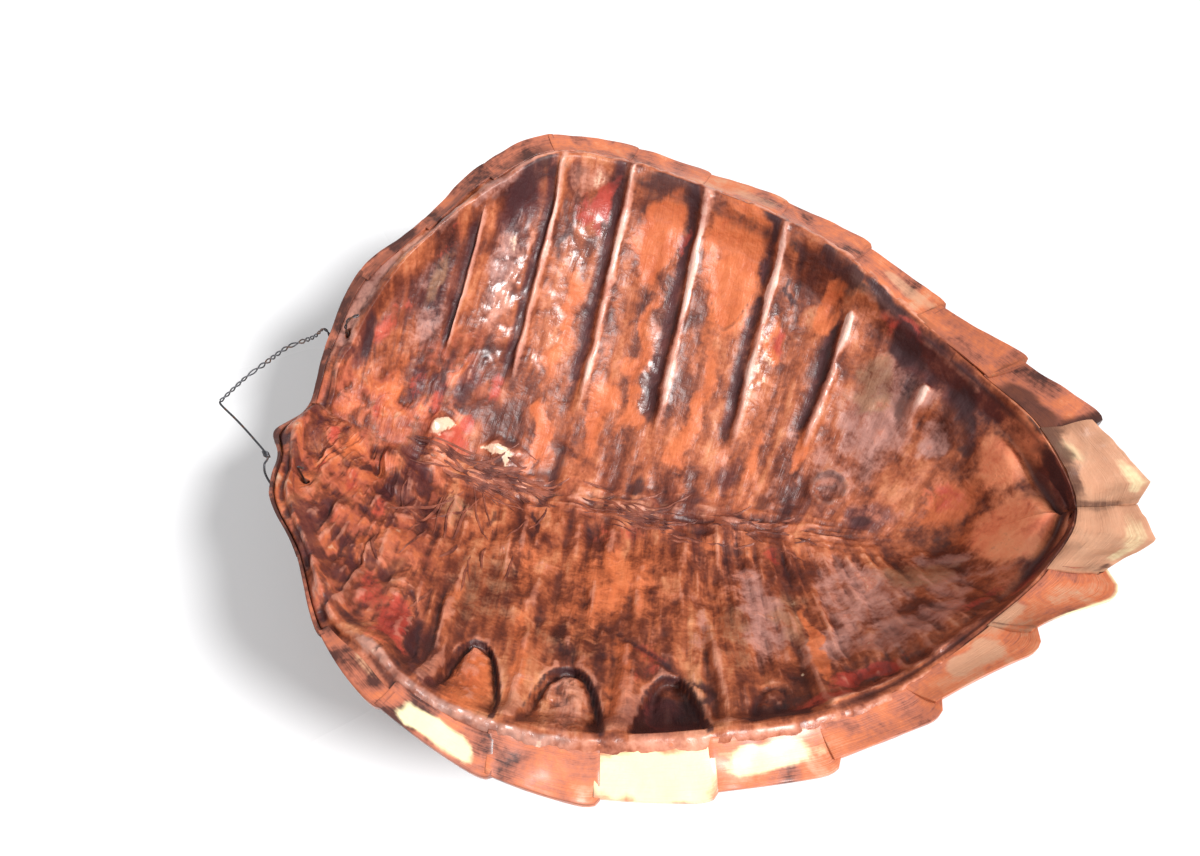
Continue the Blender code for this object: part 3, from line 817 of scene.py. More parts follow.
@dataclass(frozen=True)
class HornFinish:
    """Varnished horn of the marginal scutes: rosy orange under the rim, tortoiseshell on the back."""

    rose: Colour = (0.42, 0.130, 0.076)
    orange: Colour = (0.60, 0.168, 0.068)
    brown: Colour = (0.075, 0.024, 0.018)
    cream: Colour = (0.86, 0.72, 0.42)
    tan: Colour = (0.58, 0.305, 0.185)
    dark: Colour = (0.070, 0.021, 0.014)
    amber: Colour = (0.36, 0.12, 0.028)
    roughness: float = 0.46
    varnish: float = 0.35
    varnish_roughness: float = 0.22
    specular: float = 0.22

    def material(self, name: str = "varnished_horn") -> bpy.types.Material:
        """Builds the finish.

        Args:
            name: The material's name.

        Returns:
            The material.
        """
        g = Graph(name)
        cloud = g.noise(g.object_place(shift=3.0), 55.0, 5.0, 0.5)
        streak = g.noise(g.uv_place((9.0, 50.0, 1.0), 2.0), 1.0, 4.0, 0.6)
        grain = g.noise(g.object_place(shift=5.0), 480.0, 3.0)
        fray = g.sway((cloud, 1.5), (grain, 0.5), (streak, 0.4))
        under = g.ramp(
            0.5 + g.sway((cloud, 1.25), (streak, 0.35), (grain, 0.25)) + g.attribute("tone") * 0.27,
            (0.28, self.brown), (0.46, self.rose), (0.62, self.orange), (0.84, self.tan),
        )
        # buff and pale: the horn's paler patches, and painted highlights on some scutes
        under = g.mix(under, self.tan, g.step(g.attribute("buff") + fray * 0.4, 0.35, 0.75) * 0.85)
        under = g.mix(under, self.cream, g.step(g.attribute("pale") + fray * 0.45, 0.30, 0.80))
        # black: dark marks and the seams, and painted shade along the near rim's outer edge
        under = g.mix(under, self.dark, g.step(g.attribute("black") + fray * 0.6, 0.30, 0.90) * 0.85)
        flame = g.noise(g.uv_place((16.0, 3.5, 1.0), 9.0), 1.0, 3.0, 1.5)
        back = g.ramp(
            0.5 + g.sway((flame, 1.1), (cloud, 0.6)), (0.34, self.dark), (0.50, self.brown),
            (0.62, self.amber), (0.82, self.orange),
        )
        colour = g.mix(under, back, g.step(g.attribute("back"), 0.3, 0.7))
        height = cloud * 0.8 + streak * 0.2 + grain * 0.15
        return g.finish(
            Base_Color=colour, Roughness=self.roughness + (grain - 0.5) * 0.22, Coat_Weight=self.varnish,
            Coat_Roughness=self.varnish_roughness, Normal=g.bumped(height, 0.6, 0.0018),
            Specular_IOR_Level=self.specular,
        )


@dataclass(frozen=True)
class FibreFinish:
    """Dried strands of tissue under varnish."""

    dark: Colour = (0.100, 0.025, 0.018)
    light: Colour = (0.30, 0.088, 0.050)
    roughness: float = 0.40
    varnish: float = 0.2
    varnish_roughness: float = 0.18

    def material(self) -> bpy.types.Material:
        """Builds the finish.

        Returns:
            The material.
        """
        g = Graph("dried_fibre")
        blotch = g.noise(g.object_place(shift=1.0), 150.0, 4.0)
        grain = g.noise(g.object_place(shift=6.0), 900.0, 2.0)
        colour = g.ramp(blotch, (0.38, self.dark), (0.62, self.light))
        return g.finish(
            Base_Color=colour, Roughness=self.roughness + grain * 0.15, Coat_Weight=self.varnish,
            Coat_Roughness=self.varnish_roughness, Normal=g.bumped(grain, 0.3, 0.0004),
        )


@dataclass(frozen=True)
class WireFinish:
    """Dull dark steel wire with a little rust."""

    steel: Colour = (0.11, 0.11, 0.12)
    rust: Colour = (0.11, 0.045, 0.020)
    roughness: float = 0.42

    def material(self) -> bpy.types.Material:
        """Builds the finish.

        Returns:
            The material.
        """
        g = Graph("dull_steel_wire")
        spots = g.noise(g.object_place(shift=1.5), 240.0, 4.0)
        worn = g.step(spots, 0.52, 0.68)
        return g.finish(
            Base_Color=g.mix(self.steel, self.rust, worn), Roughness=self.roughness + worn * 0.3,
            Metallic=1.0 - worn * 0.6, Normal=g.bumped(spots, 0.2, 0.0003),
        )


@dataclass(frozen=True)
class TableFinish:
    """A white table with a faint gloss."""

    white: Colour = (0.86, 0.86, 0.87)
    roughness: float = 0.24

    def material(self) -> bpy.types.Material:
        """Builds the finish.

        Returns:
            The material.
        """
        g = Graph("white_table")
        cloud = g.noise(g.object_place(), 3.0, 2.0)
        return g.finish(Base_Color=self.white, Roughness=self.roughness + cloud * 0.06)


# ------------------------ modelling helpers


def deselect() -> None:
    """Selects nothing, so that the next operator acts on its own piece alone."""
    if bpy.context.object and bpy.context.object.mode != "OBJECT":
        bpy.ops.object.mode_set(mode="OBJECT")
    bpy.ops.object.select_all(action="DESELECT")


def pick(piece: bpy.types.Object) -> bpy.types.Object:
    """Makes one piece the selected and active one.

    Args:
        piece: The piece.

    Returns:
        The same piece.
    """
    deselect()
    piece.select_set(True)
    bpy.context.view_layer.objects.active = piece
    return piece


def write_places(mesh: bpy.types.Mesh, places: np.ndarray) -> None:
    """Moves a mesh's points to places in metres."""
    mesh.vertices.foreach_set("co", places.astype(np.float32).ravel())
    mesh.update()


def write_attribute(mesh: bpy.types.Mesh, name: str, values: np.ndarray) -> None:
    """Stores one number a point."""
    layer = mesh.attributes.get(name) or mesh.attributes.new(name, "FLOAT", "POINT")
    layer.data.foreach_set("value", values.astype(np.float32))


def write_grain(mesh: bpy.types.Mesh, grain: np.ndarray) -> None:
    """Stores the coordinates that follow the grain, given for each point.

    Args:
        mesh: The mesh.
        grain: Two numbers for each of its points.
    """
    layer = mesh.uv_layers[0] if mesh.uv_layers else mesh.uv_layers.new(name="grain")
    layer.name = "grain"
    corners = np.empty(len(mesh.loops), np.int32)
    mesh.loops.foreach_get("vertex_index", corners)
    layer.data.foreach_set("uv", grain[corners].astype(np.float32).ravel())


def apply_modifier(piece: bpy.types.Object, kind: str, **settings: object) -> None:
    """Adds a modifier and applies it.

    Args:
        piece: The piece.
        kind: Blender's modifier type.
        **settings: The modifier's properties.
    """
    pick(piece)
    modifier = piece.modifiers.new(kind.lower(), kind)
    for key, value in settings.items():
        setattr(modifier, key, value)
    bpy.ops.object.modifier_apply(modifier=modifier.name)


def flip(piece: bpy.types.Object) -> None:
    """Turns a piece's faces round.

    Args:
        piece: The piece.
    """
    pick(piece)
    bpy.ops.object.mode_set(mode="EDIT")
    bpy.ops.mesh.select_all(action="SELECT")
    bpy.ops.mesh.flip_normals()
    bpy.ops.object.mode_set(mode="OBJECT")


def turn_outwards(piece: bpy.types.Object) -> None:
    """Turns the faces of a closed piece outwards, told by the sign of its volume.

    Args:
        piece: The piece.
    """
    mesh = piece.data
    mesh.calc_loop_triangles()
    places = np.empty(len(mesh.vertices) * 3, np.float32)
    mesh.vertices.foreach_get("co", places)
    corners = np.empty(len(mesh.loop_triangles) * 3, np.int32)
    mesh.loop_triangles.foreach_get("vertices", corners)
    a, b, c = places.reshape(-1, 3)[corners].reshape(-1, 3, 3).astype(float).transpose(1, 0, 2)
    if np.einsum("ij,ij->i", a, np.cross(b, c)).sum() < 0.0:
        flip(piece)


def thicken(piece: bpy.types.Object, thickness: float) -> None:
    """Gives a plate its thickness inwards and rounds its rims.

    Args:
        piece: The plate.
        thickness: Millimetres.
    """
    apply_modifier(piece, "SOLIDIFY", thickness=thickness * MM, offset=-1.0)
    apply_modifier(piece, "BEVEL", width=0.28 * MM, segments=2, limit_method="ANGLE", angle_limit=CREASE)


def add_grid(name: str, along: int, across: int) -> tuple[bpy.types.Object, np.ndarray, np.ndarray]:
    """Adds a flat grid that is then moved onto the shell.

    Args:
        name: The piece's name.
        along: Number of strips along the grid's X.
        across: Number of strips along its Y.

    Returns:
        The piece, and each point's share along X and along Y, from 0 to 1.
    """
    deselect()
    bpy.ops.mesh.primitive_grid_add(x_subdivisions=along, y_subdivisions=across, size=2.0)
    piece = bpy.context.object
    piece.name = name
    places = np.empty(len(piece.data.vertices) * 3, np.float32)
    piece.data.vertices.foreach_get("co", places)
    places = places.reshape(-1, 3)
    return piece, (places[:, 0] + 1.0) * 0.5, (places[:, 1] + 1.0) * 0.5


def join(pieces: list[bpy.types.Object], name: str) -> bpy.types.Object:
    """Joins pieces that belong together.

    Args:
        pieces: The pieces, the first of which takes in the others.
        name: The joined piece's name.

    Returns:
        The joined piece.
    """
    deselect()
    for piece in pieces:
        piece.select_set(True)
    bpy.context.view_layer.objects.active = pieces[0]
    bpy.ops.object.join()
    joined = bpy.context.object
    joined.name = name
    joined.data.name = name
    return joined


def tubes(name: str, routes: list[tuple[np.ndarray, np.ndarray]], sides: int) -> bpy.types.Object:
    """Makes round strands along routes and turns them into one mesh.

    Args:
        name: The piece's name.
        routes: For each strand its points and its radii, in millimetres.
        sides: The curve's bevel resolution; a strand has twice as many sides, and four more.

    Returns:
        The piece.
    """
    curve = bpy.data.curves.new(name, "CURVE")
    curve.dimensions = "3D"
    curve.bevel_depth = MM
    curve.bevel_resolution = sides
    curve.use_fill_caps = True
    for points, radii in routes:
        spline = curve.splines.new("POLY")
        spline.points.add(len(points) - 1)
        placed = np.hstack((to_frame(points), np.ones((len(points), 1))))
        spline.points.foreach_set("co", placed.astype(np.float32).ravel())
        spline.points.foreach_set("radius", radii.astype(np.float32))
    piece = bpy.data.objects.new(name, curve)
    bpy.context.scene.collection.objects.link(piece)
    pick(piece)
    bpy.ops.object.convert(target="MESH")
    bpy.ops.object.mode_set(mode="EDIT")
    bpy.ops.mesh.select_all(action="SELECT")
    bpy.ops.mesh.remove_doubles(threshold=0.00001)
    bpy.ops.object.mode_set(mode="OBJECT")
    bpy.ops.object.shade_smooth_by_angle(angle=math.radians(60.0))
    return bpy.context.object


def dress(piece: bpy.types.Object, material: bpy.types.Material) -> bpy.types.Object:
    """Gives a finished piece its material, and lets it ride on the shell.

    Args:
        piece: The piece.
        material: Its finish.

    Returns:
        The same piece.
    """
    piece.data.materials.clear()
    piece.data.materials.append(material)
    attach(piece, "root")
    LOG.info("%s: %d faces", piece.name, len(piece.data.polygons))
    return piece


# ------------------------ the bone


class Wall(Enum):
    """The three stretches of a ring around the shell."""

    INSIDE = "inside"
    RIM = "rim"
    OUTSIDE = "outside"


@dataclass
class BoneShell:
    """The bone with its dried tissue: one closed skin, finely shaped inside and plain under the scutes."""

    stations: int = 356
    ends: tuple[float, float] = (0.03, 12.97)
    inside_steps: int = 112
    rim_steps: int = 7
    rim_end: float = 0.78
    outside_steps: int = 14
    outside_start: float = 0.92
    ribs: tuple[Row, ...] = (
        (3.82, 0.46, 0.94), (5.15, 0.36, 1.02), (6.15, 0.34, 1.02), (7.15, 0.32, 1.02), (8.17, 0.33, 1.02),
        (9.25, 0.40, 0.90), (10.5, 0.68, 0.84),
    )
    rib_height: float = 2.6
    crest_height: float = 1.6
    crest_half: float = 0.062
    groove_depth: float = 1.5
    pocket_start: tuple[tuple[float, ...], ...] = (
        (0.62, 0.70, 0.70, 0.68, 0.72, 0.80), (0.68, 0.725, 0.73, 0.73, 0.79, 0.82),
    )
    pocket_depth: tuple[tuple[float, ...], ...] = ((1.2, 1.8, 1.2, 1.6, 2.2, 1.0), (2.0, 6.0, 6.5, 7.5, 2.5, 1.2))
    pocket_floor: tuple[float, ...] = (0.5, 1.0, 1.0, 0.0, 0.5, 0.2)
    arch_from: tuple[float, ...] = (-2.0, 1.0, 1.3, 1.4, -2.0, -2.0)
    far_seam: tuple[float, float] = (7.66, 0.665)
    row_width: float = 36.0
    wall_length: float = 150.0
    crack: tuple[float, float, float, float] = (7.22, -0.60, 8.02, -0.80)
    crack_half: float = 1.7
    spine_ridge: tuple[float, float] = (3.0, 11.0)
    lobes: tuple[tuple[float, float, float, float], ...] = ((316.0, 30.0, 9.0, 19.0), (320.0, -3.0, 10.5, 25.0))
    scar: Row = (240.0, 24.0, 8.0)
    tissue_lumps: tuple[tuple[float, float, float, float, float], ...] = (
        (50, 14, 13, 7, 4.5), (81, 16, 12, 5, 3.0), (3, -12, 12, 18, 3.5), (25, -26, 12, 9, 3.0), (13, 8, 10, 8, 2.5),
        (32, 10, 12, 8, 3.0), (62, -98, 10, 8, 2.5), (33, -17, 6, 6, -3.0), (46, -30, 9, 7, -3.5),
        (60, -60, 8, 14, 2.0), (40, -60, 9, 10, 2.5), (78, -30, 6, 22, 1.5), (100, -32, 5, 24, 1.5),
    )
    cross_band: tuple[float, float, float] = (105.0, 11.0, 2.2)
    kept_thick: tuple[float, float] = (4.0, 5.4)
    pocket_margin: tuple[float, ...] = (0.12, 0.07, 0.03, 0.10, 0.12, 0.12)
    holes: tuple[Row, ...] = ((11.0, 33.0, 88.0), (16.0, -45.0, 88.0))
    hole_radius: float = 1.7
    drill_depth: float = 40.0
    under_scutes: float = 1.3
    stains: InsideStains = InsideStains()

    def _ring_steps(self) -> list[tuple[Wall, float, int]]:
        """Where the points of a ring lie: the stretch, the share along it, and the side.

        Returns:
            One row a point, from the spine over the far side to the keel and back by the near side.
        """
        inner = [(Wall.INSIDE, (i + 1) / self.inside_steps) for i in range(self.inside_steps)]
        inner += [(Wall.RIM, self.rim_end * (i + 1) / self.rim_steps) for i in range(self.rim_steps)]
        start, count = self.outside_start, self.outside_steps
        inner += [(Wall.OUTSIDE, start * (1.0 - i / count)) for i in range(count)]
        far = [(wall, share, 1) for wall, share in inner]
        near = [(wall, share, -1) for wall, share in reversed(inner)]
        return [(Wall.INSIDE, 0.0, 1), *far, (Wall.OUTSIDE, 0.0, 1), *near]

    def _ribs(
        self, u: np.ndarray, t: np.ndarray, far: np.ndarray, wobble: np.ndarray, broad: np.ndarray
    ) -> dict[str, np.ndarray]:
        """The ribs, each a fold with a narrow crest, a groove before it and a slope behind it. The groove is painted
        dark as the rib's shadow, partly dark stain.

        Args:
            u: Rows of the rim.
            t: Shares from spine to ridge.
            far: Whether each point is on the far side.
            wobble: A slow noise that keeps the lines from being straight.
            broad: A slow noise by which the crests widen and narrow.

        Returns:
            Height, crest and groove at each point, each groove and crest from 0 to 1; the groove mask is painted
            shadow.
        """
        height, crest, groove = (np.zeros(len(u)) for _ in range(3))
        for rib, low, high in self.ribs:
            across = u - rib - 0.03 * wobble
            behind = np.exp(-((np.abs(across) / 0.20) ** 1.4))
            before = bell(across / 0.065)
            start = np.where(far, low, 0.62)
            on = smooth((t - start + 0.07) / 0.14) * smooth((np.where(far, high, 1.02) - t + 0.03) / 0.05)
            half = self.crest_half * (1.0 + 0.6 * broad) * (0.55 + 0.45 * smooth((1.15 - t) / 0.3))
            sharp = bell(across / half) * on * np.where(far, 1.0, 0.3)
            # the groove before each rib: sunk a little, and its mask later painted as the rib's shadow
            dip = bell((across + 0.18) / 0.11) * on * np.where(far, 1.0, 0.0)
            height += on * self.rib_height * np.where(across > 0, behind, before) + self.crest_height * sharp
            height -= self.groove_depth * dip
            crest, groove = np.maximum(crest, sharp), np.maximum(groove, dip)
        return {"height": height, "crest": crest, "groove": groove}

    def _pockets(self, u: np.ndarray, t: np.ndarray, far: np.ndarray, knob: np.ndarray) -> dict[str, np.ndarray]:
        """The pockets between the ribs, under the rim: shallow on the far side, round-topped holes on the near.

        Args:
            u: Rows of the rim.
            t: Shares from spine to ridge.
            far: Whether each point is on the far side.
            knob: The small lumps of a pocket's floor.

        Returns:
            Height, the painted shade under each pocket's arch (partly dark stain) with the far seam's dark line, and
            the fleshy floor, each from 0 to 1.
        """
        height, arch, flesh = (np.zeros(len(u)) for _ in range(3))
        for number in range(len(self.ribs) - 1):
            left, right = self.ribs[number][0], self.ribs[number + 1][0]
            half = 0.5 * (right - left) - self.pocket_margin[number]
            across = (u - 0.5 * (left + right)) / half
            away = np.minimum(np.abs(across), 1.0)
            start = np.where(far, self.pocket_start[0][number], self.pocket_start[1][number])
            depth = np.where(far, self.pocket_depth[0][number], self.pocket_depth[1][number])
            rise = np.where(far, 0.16, 0.26)
            top = start + rise * away ** 2.6
            slope = rise * 2.6 * away ** 1.6 / (half * self.row_width)
            beyond = (t - top) / np.hypot(1.0 / self.wall_length, slope)
            sunk = smooth(beyond / np.where(far, 11.0, 3.8)) * smooth((1.0 - away) / np.where(far, 0.4, 0.22))
            fill = self.pocket_floor[number] * bump(away / 1.1) * smooth((beyond - 2.4) / 5.0)
            fill = np.where(far, 0.0, fill)
            height += sunk * (-depth + fill * (depth * 0.9 + 4.2 * knob))
            # painted shade under the overhanging top of each near pocket, partly dark stain
            edge = smooth((beyond + 0.6) / 1.6) * smooth((4.0 + 2.0 * across - beyond) / 2.4)
            edge *= smooth((across + self.arch_from[number]) / 0.5) * smooth((1.0 - away) / 0.05)
            arch = np.maximum(arch, np.where(far, 0.0, edge))
            flesh = np.maximum(flesh, sunk * np.where(far, 0.0, fill))
        seam_u, seam_t = self.far_seam
        seam = np.where(far, bell((t - seam_t - 0.25 * ((u - seam_u) / 0.38) ** 2) / 0.015), 0.0)
        seam *= (np.abs(u - seam_u) < 0.37)
        return {"height": height, "arch": np.maximum(arch, 0.6 * seam), "flesh": flesh}

    @staticmethod
    def _tissue(u: np.ndarray, t: np.ndarray, far: np.ndarray) -> tuple[np.ndarray, np.ndarray, np.ndarray]:
        """Where dried tissue covers the bone.

        Args:
            u: Rows of the rim.
            t: Shares from spine to ridge.
            far: Whether each point is on the far side.

        Returns:
            The thick tissue at the front, the belt along the spine, and all of it, each from 0 to 1.
        """
        inwards = np.where(
            far, np.maximum(smooth((0.62 - t) / 0.25), smooth((1.6 - u) / 0.6)),
            np.maximum(smooth((1.0 - t) / 0.10), smooth((4.2 - u) / 0.5)),
        )
        front = smooth((5.4 - u) / 1.6) * inwards
        belt = bell(t / 0.13) * smooth((10.5 - u) / 3.0) * 0.8
        near_wall = np.where(far, 0.0, 0.35) * smooth((9.2 - u) / 2.0) * smooth((0.80 - t) / 0.15)
        return front, belt, np.clip(np.maximum(front, np.maximum(belt, near_wall)), 0.0, 1.0)

    def _crack(self, u: np.ndarray, v: np.ndarray) -> np.ndarray:
        """The crack in the near wall.

        Args:
            u: Rows of the rim, made a little ragged.
            v: Shares from spine to ridge, negative on the near side.

        Returns:
            A mask from 0 to 1.
        """
        u0, v0, u1, v1 = self.crack
        run = np.array((u1 - u0, v1 - v0)) * (self.row_width, self.wall_length)
        gone = np.stack(((u - u0) * self.row_width, (v - v0) * self.wall_length), axis=1)
        along = np.clip(gone @ run / (run @ run), 0.0, 1.0)
        return bell(np.linalg.norm(gone - along[:, None] * run, axis=1) / self.crack_half)

    def _landmarks(
        self, height: np.ndarray, x: np.ndarray, y: np.ndarray, gap: np.ndarray, fine: np.ndarray
    ) -> tuple[np.ndarray, np.ndarray, np.ndarray]:
        """Adds the two lobes, the lumps of tissue, the round scar and the band across the spine to the relief.

        Args:
            height: The relief, which is changed in place.
            x: Distances from the nape.
            y: Distances from the middle.
            gap: Distances from the ridge of the rim.
            fine: A fine noise that makes the scar uneven.

        Returns:
            The lobes' mask, the distances from the scar in its radii, and the band's mask.
        """
        lobe = np.zeros(len(x))
        for lobe_x, lobe_y, lobe_height, lobe_radius in self.lobes:
            away = np.hypot(x - lobe_x, y - lobe_y) / lobe_radius
            lobe = np.maximum(lobe, bump(away))
            height += lobe_height * bump(away) ** 0.8 * smooth((gap - 3.0) / 12.0)
        for lump_x, lump_y, wide, deep, tall in self.tissue_lumps:
            height += tall * bump(np.hypot((x - lump_x) / wide, (y - lump_y) / deep) * 0.8)
        scar_x, scar_y, scar_radius = self.scar
        ring = np.hypot(x - scar_x, (y - scar_y) * 1.2) / scar_radius + 0.12 * fine
        height += 1.8 * bell((ring - 1.0) / 0.30) - 1.4 * bell(ring / 0.6)
        band_x, band_y, band_deep = self.cross_band
        band = bell((x - band_x - 0.15 * y) / 4.5) * smooth((19.0 - np.abs(y - band_y)) / 6.0)
        height -= band_deep * band
        return lobe, ring, band

    def relief(self, u: np.ndarray, t: np.ndarray, side: np.ndarray, place: np.ndarray) -> dict[str, np.ndarray]:
        """What stands out of the plain wall or is sunk in it, and the masks that go with it.

        Args:
            u: Rows of the rim.
            t: Shares from spine to ridge.
            side: 1 on the far side, -1 on the near side.
            place: The plain wall's points.

        Returns:
            The height under "height", and the masks by their names.
        """
        x, y = place[:, 0], place[:, 1]
        far = side > 0
        v = t * side
        wall = np.stack((u * 33.0, v * 170.0, np.zeros_like(u)), axis=1)
        flat = place * np.array((1.0, 1.0, 0.6))
        streak = lumps(wall * np.array((1.0, 0.10, 1.0)), 4.2, 3.0, 3)
        fold = lumps(wall * np.array((1.0, 0.18, 1.0)), 11.0, 4.0, 2)
        coarse = lumps(flat, 15.0, 1.0, 3)
        clump = np.abs(lumps(flat * np.array((1.0, 0.55, 1.0)), 25.0, 6.0, 2))
        swell = lumps(flat * np.array((1.0, 0.6, 1.0)), 13.0, 14.0, 2)
        knob = np.abs(lumps(flat, 6.5, 7.0, 3))
        fine = lumps(flat, 4.0, 2.0, 3)
        cords = lumps(flat * np.array((0.13, 1.0, 1.0)), 2.6, 5.0, 3)
        wobble = lumps(wall, 22.0, 8.0, 2)
        warp_u = u + 0.17 * lumps(flat, 15.0, 41.0, 4)
        warp_v = v + 0.045 * lumps(flat, 15.0, 43.0, 4)
        broad = lumps(wall, 17.0, 61.0, 2)
        # how strong the painted highlight on the rib crests is: a slow noise, strongest at about four fifths of the way
        # to the ridge
        highlight_along_crest = lumps(wall * np.array((1.0, 0.6, 1.0)), 16.0, 63.0, 2) + 0.9 * bump((t - 0.82) / 0.25)
        ribs = self._ribs(u, t, far, wobble, broad)
        pockets = self._pockets(u, t, far, knob)
        height = ribs["height"] + pockets["height"]
        ridge_height, half = self.spine_ridge
        height += ridge_height * bell(y / half) * smooth(x / 45.0) * smooth((305.0 - x) / 60.0)
        cord = bell((y - 2.0) / 8.0) * smooth((x - 30.0) / 20.0) * smooth((285.0 - x) / 50.0)
        height += cord * cords * 2.2

        gap = np.linalg.norm((FORM.rim_ridge(u, side) - place)[:, :2], axis=1)
        lobe, ring, band = self._landmarks(height, x, y, gap, fine)
        front, belt, tissue = self._tissue(u, t, far)
        calm = np.maximum.reduce((
            smooth((u - 11.0) / 1.4), lobe, 0.4 * far * (1.0 - front), 0.6 * smooth((u - 8.3) / 0.9) * (1.0 - far),
        ))
        plain = (1.0 - tissue) * (1.0 - 0.85 * lobe)
        height += tissue * (8.5 * (clump - 0.17) + 3.2 * swell + 0.8 * (knob - 0.15) + 0.5 * fine)
        height += plain * (0.9 * coarse + 0.30 * fine + 0.5 * (knob - 0.15))
        along_wall = smooth(t / 0.12) * smooth((0.97 - t) / 0.08) * (1.0 - smooth((u - 11.0) / 1.4)) * smooth(u / 1.5)
        height += (1.2 * streak + 1.8 * fold) * along_wall * np.where(far, 0.5, 1.3)
        crack = self._crack(warp_u * 0.3 + u * 0.7, v)
        height -= 1.2 * crack
        crescent = bump((gap - 4.6) / 5.2) * smooth((u - 11.2) / 0.8)
        height -= 3.0 * crescent
        thin = smooth((u - 8.8) / 0.7) * smooth((11.6 - u) / 0.7) * smooth((t - 0.68) / 0.12) * smooth((1.0 - t) / 0.04)
        height += np.where(far, *self.kept_thick) * thin
        stain = {spots.name: covered(getattr(self.stains, spots.name), warp_u, warp_v) for spots in fields(self.stains)}
        gloss = stain["gloss"]
        height += gloss * 1.3 * np.abs(lumps(flat, 9.0, 51.0, 3))

        flesh = pockets["flesh"]
        # painted shadow: a dark line under the rim's inner ridge, where it overhangs the wall
        shadow_under_ridge = bell((t - 0.965) / 0.018) * np.where(far, 0.75, 0.45 * (1.0 - flesh))
        black = np.maximum.reduce((
            # pockets' arches: painted shade, partly stain; a little of the rib grooves: painted shadow
            stain["black"], pockets["arch"], 0.62 * bell((ring - 0.95) / 0.40), 0.15 * ribs["groove"], 0.75 * band,
            # crescent: painted shade in the sunk groove around the tail's lobes
            0.75 * crack, 0.75 * crescent * smooth(1.8 - 1.5 * lobe),
            shadow_under_ridge * smooth((u - 3.6) / 0.5) * smooth((13.5 - u) / 0.5) * (1.0 - 0.85 * bump((u - 5.55) / 0.6)),
            # painted shade in the low creases between the clumps of tissue
            0.45 * tissue * smooth(1.0 - clump / 0.04),
        ))
        return {
            "height": height,
            "black": black * (1.0 - 0.9 * ribs["crest"]) * (1.0 - 0.6 * flesh * (u < 7.1)),
            "shade": np.maximum.reduce((
                # shade patches: partly stain, partly painted shade; rib grooves: painted shadow
                stain["shade"], 1.1 * ribs["groove"], 0.9 * flesh * (u > 7.1) * (u < 8.2),
                # painted shade in the dark band between the tail's lobes and the rim
                0.9 * smooth((u - 11.6) / 0.6) * smooth(1.6 - 3.5 * lobe) * (1.0 - 0.95 * smooth((0.62 - t) / 0.2)),
            )),
            "red": stain["red"],
            "orange": np.maximum.reduce((
                stain["orange"], 0.30 * tissue * smooth(2.2 * clump), 0.85 * flesh * (u < 6.1),
            )),
            "mauve": stain["mauve"],
            "olive": np.maximum(stain["olive"], 0.3 * cord * smooth((210.0 - x) / 40.0)),
            "pale": stain["pale"],
            "rose": np.maximum.reduce((ribs["crest"], 0.55 * flesh * (u > 6.1) * (u < 7.1), stain["pink"])),
            # crest: painted highlight along the ribs' crests
            "crest": ribs["crest"] * smooth((u - 4.6) / 0.6) * (0.62 + 1.0 * np.clip(highlight_along_crest, 0.0, 1.0)),
            # the lobes: their salmon colour, with painted light
            "peach": smooth(1.9 * lobe + 0.2 * fine) * (1.0 - 0.2 * smooth(0.6 + coarse)) * (1.0 - 0.7 * crescent),
            "flesh": np.maximum(front, 0.4 * belt), "gloss": gloss, "calm": calm,
        }

    @staticmethod
    def _cavities(height: np.ndarray, stations: int) -> tuple[np.ndarray, np.ndarray]:
        """Where the relief is sunk below its surroundings, and where it stands above them: the masks for painted shade
        in the hollows and painted light on the raised parts.

        Args:
            height: The relief of all inside points, ring by ring.
            stations: How many rings there are.

        Returns:
            Two masks from 0 to 1.
        """
        across = len(height) // stations
        sheet = np.roll(height.reshape(stations, across), across // 2, axis=1)
        soft = sheet
        for _ in range(8):
            soft = (np.roll(soft, 1, 1) + soft + np.roll(soft, -1, 1)) / 3.0
            soft = (np.roll(soft, 1, 0) + soft + np.roll(soft, -1, 0)) / 3.0
        rise = np.roll(sheet - soft, -(across // 2), axis=1).ravel()
        return smooth(-rise / 1.1), smooth(rise / 1.1)

    @staticmethod
    def _rim_masks(
        u: np.ndarray, share: np.ndarray, near: np.ndarray, bead: np.ndarray, lip: np.ndarray
    ) -> dict[str, np.ndarray]:
        """The masks of the rim where it isn't covered by what comes over it from the inside.

        Args:
            u: Rows of the rim.
            share: 0 at the inner ridge and 1 at the outer edge.
            near: 1 on the near side, 0 on the far side.
            bead: Where the near rim is beaded, from 0 to 1.
            lip: The rim's small lumps.

        Returns:
            The masks by their names.
        """
        rearwards = smooth((u - 9.5) / 1.5)
        return {
            "rose": np.where(near > 0, 0.45, 0.55) * (1.0 - 0.6 * rearwards)
            * (1.0 - 0.8 * bead * smooth((0.45 - share) / 0.2)),
            "calm": np.ones(len(u)),
            "ash": 0.9 * bead * smooth((0.40 - share) / 0.2), "gloss": 0.7 * bead,
            "orange": np.maximum(0.5 * rearwards, 0.55 * bead * smooth((share - 0.3) / 0.2)),
            # pale: painted glints on the tops of the near rim's beads
            "pale": 0.4 * bead * smooth(2.2 * lip - 0.9), "shade": 0.15 * (1.0 - near),
            "mauve": 0.65 * (1.0 - near) * smooth((5.2 - u) / 0.6),
        }

    def _back(self, u: np.ndarray, t: np.ndarray, side: np.ndarray) -> np.ndarray:
        """The bone's back, which lies a little under the scutes.

        Args:
            u: Rows of the rim.
            t: Shares from keel to edge.
            side: 1 on the far side, -1 on the near side.

        Returns:
            The back's points.
        """
        lift = self.under_scutes * smooth((0.98 - t) / 0.1)
        back = FORM.outside(u, t, side) * np.array((1.0, 0.985, 1.0)) + lift[:, None] * np.array((0.0, 0.0, 1.0))
        return FORM.under_rim(back, u, side, 2.0 * self.under_scutes + 1.0)

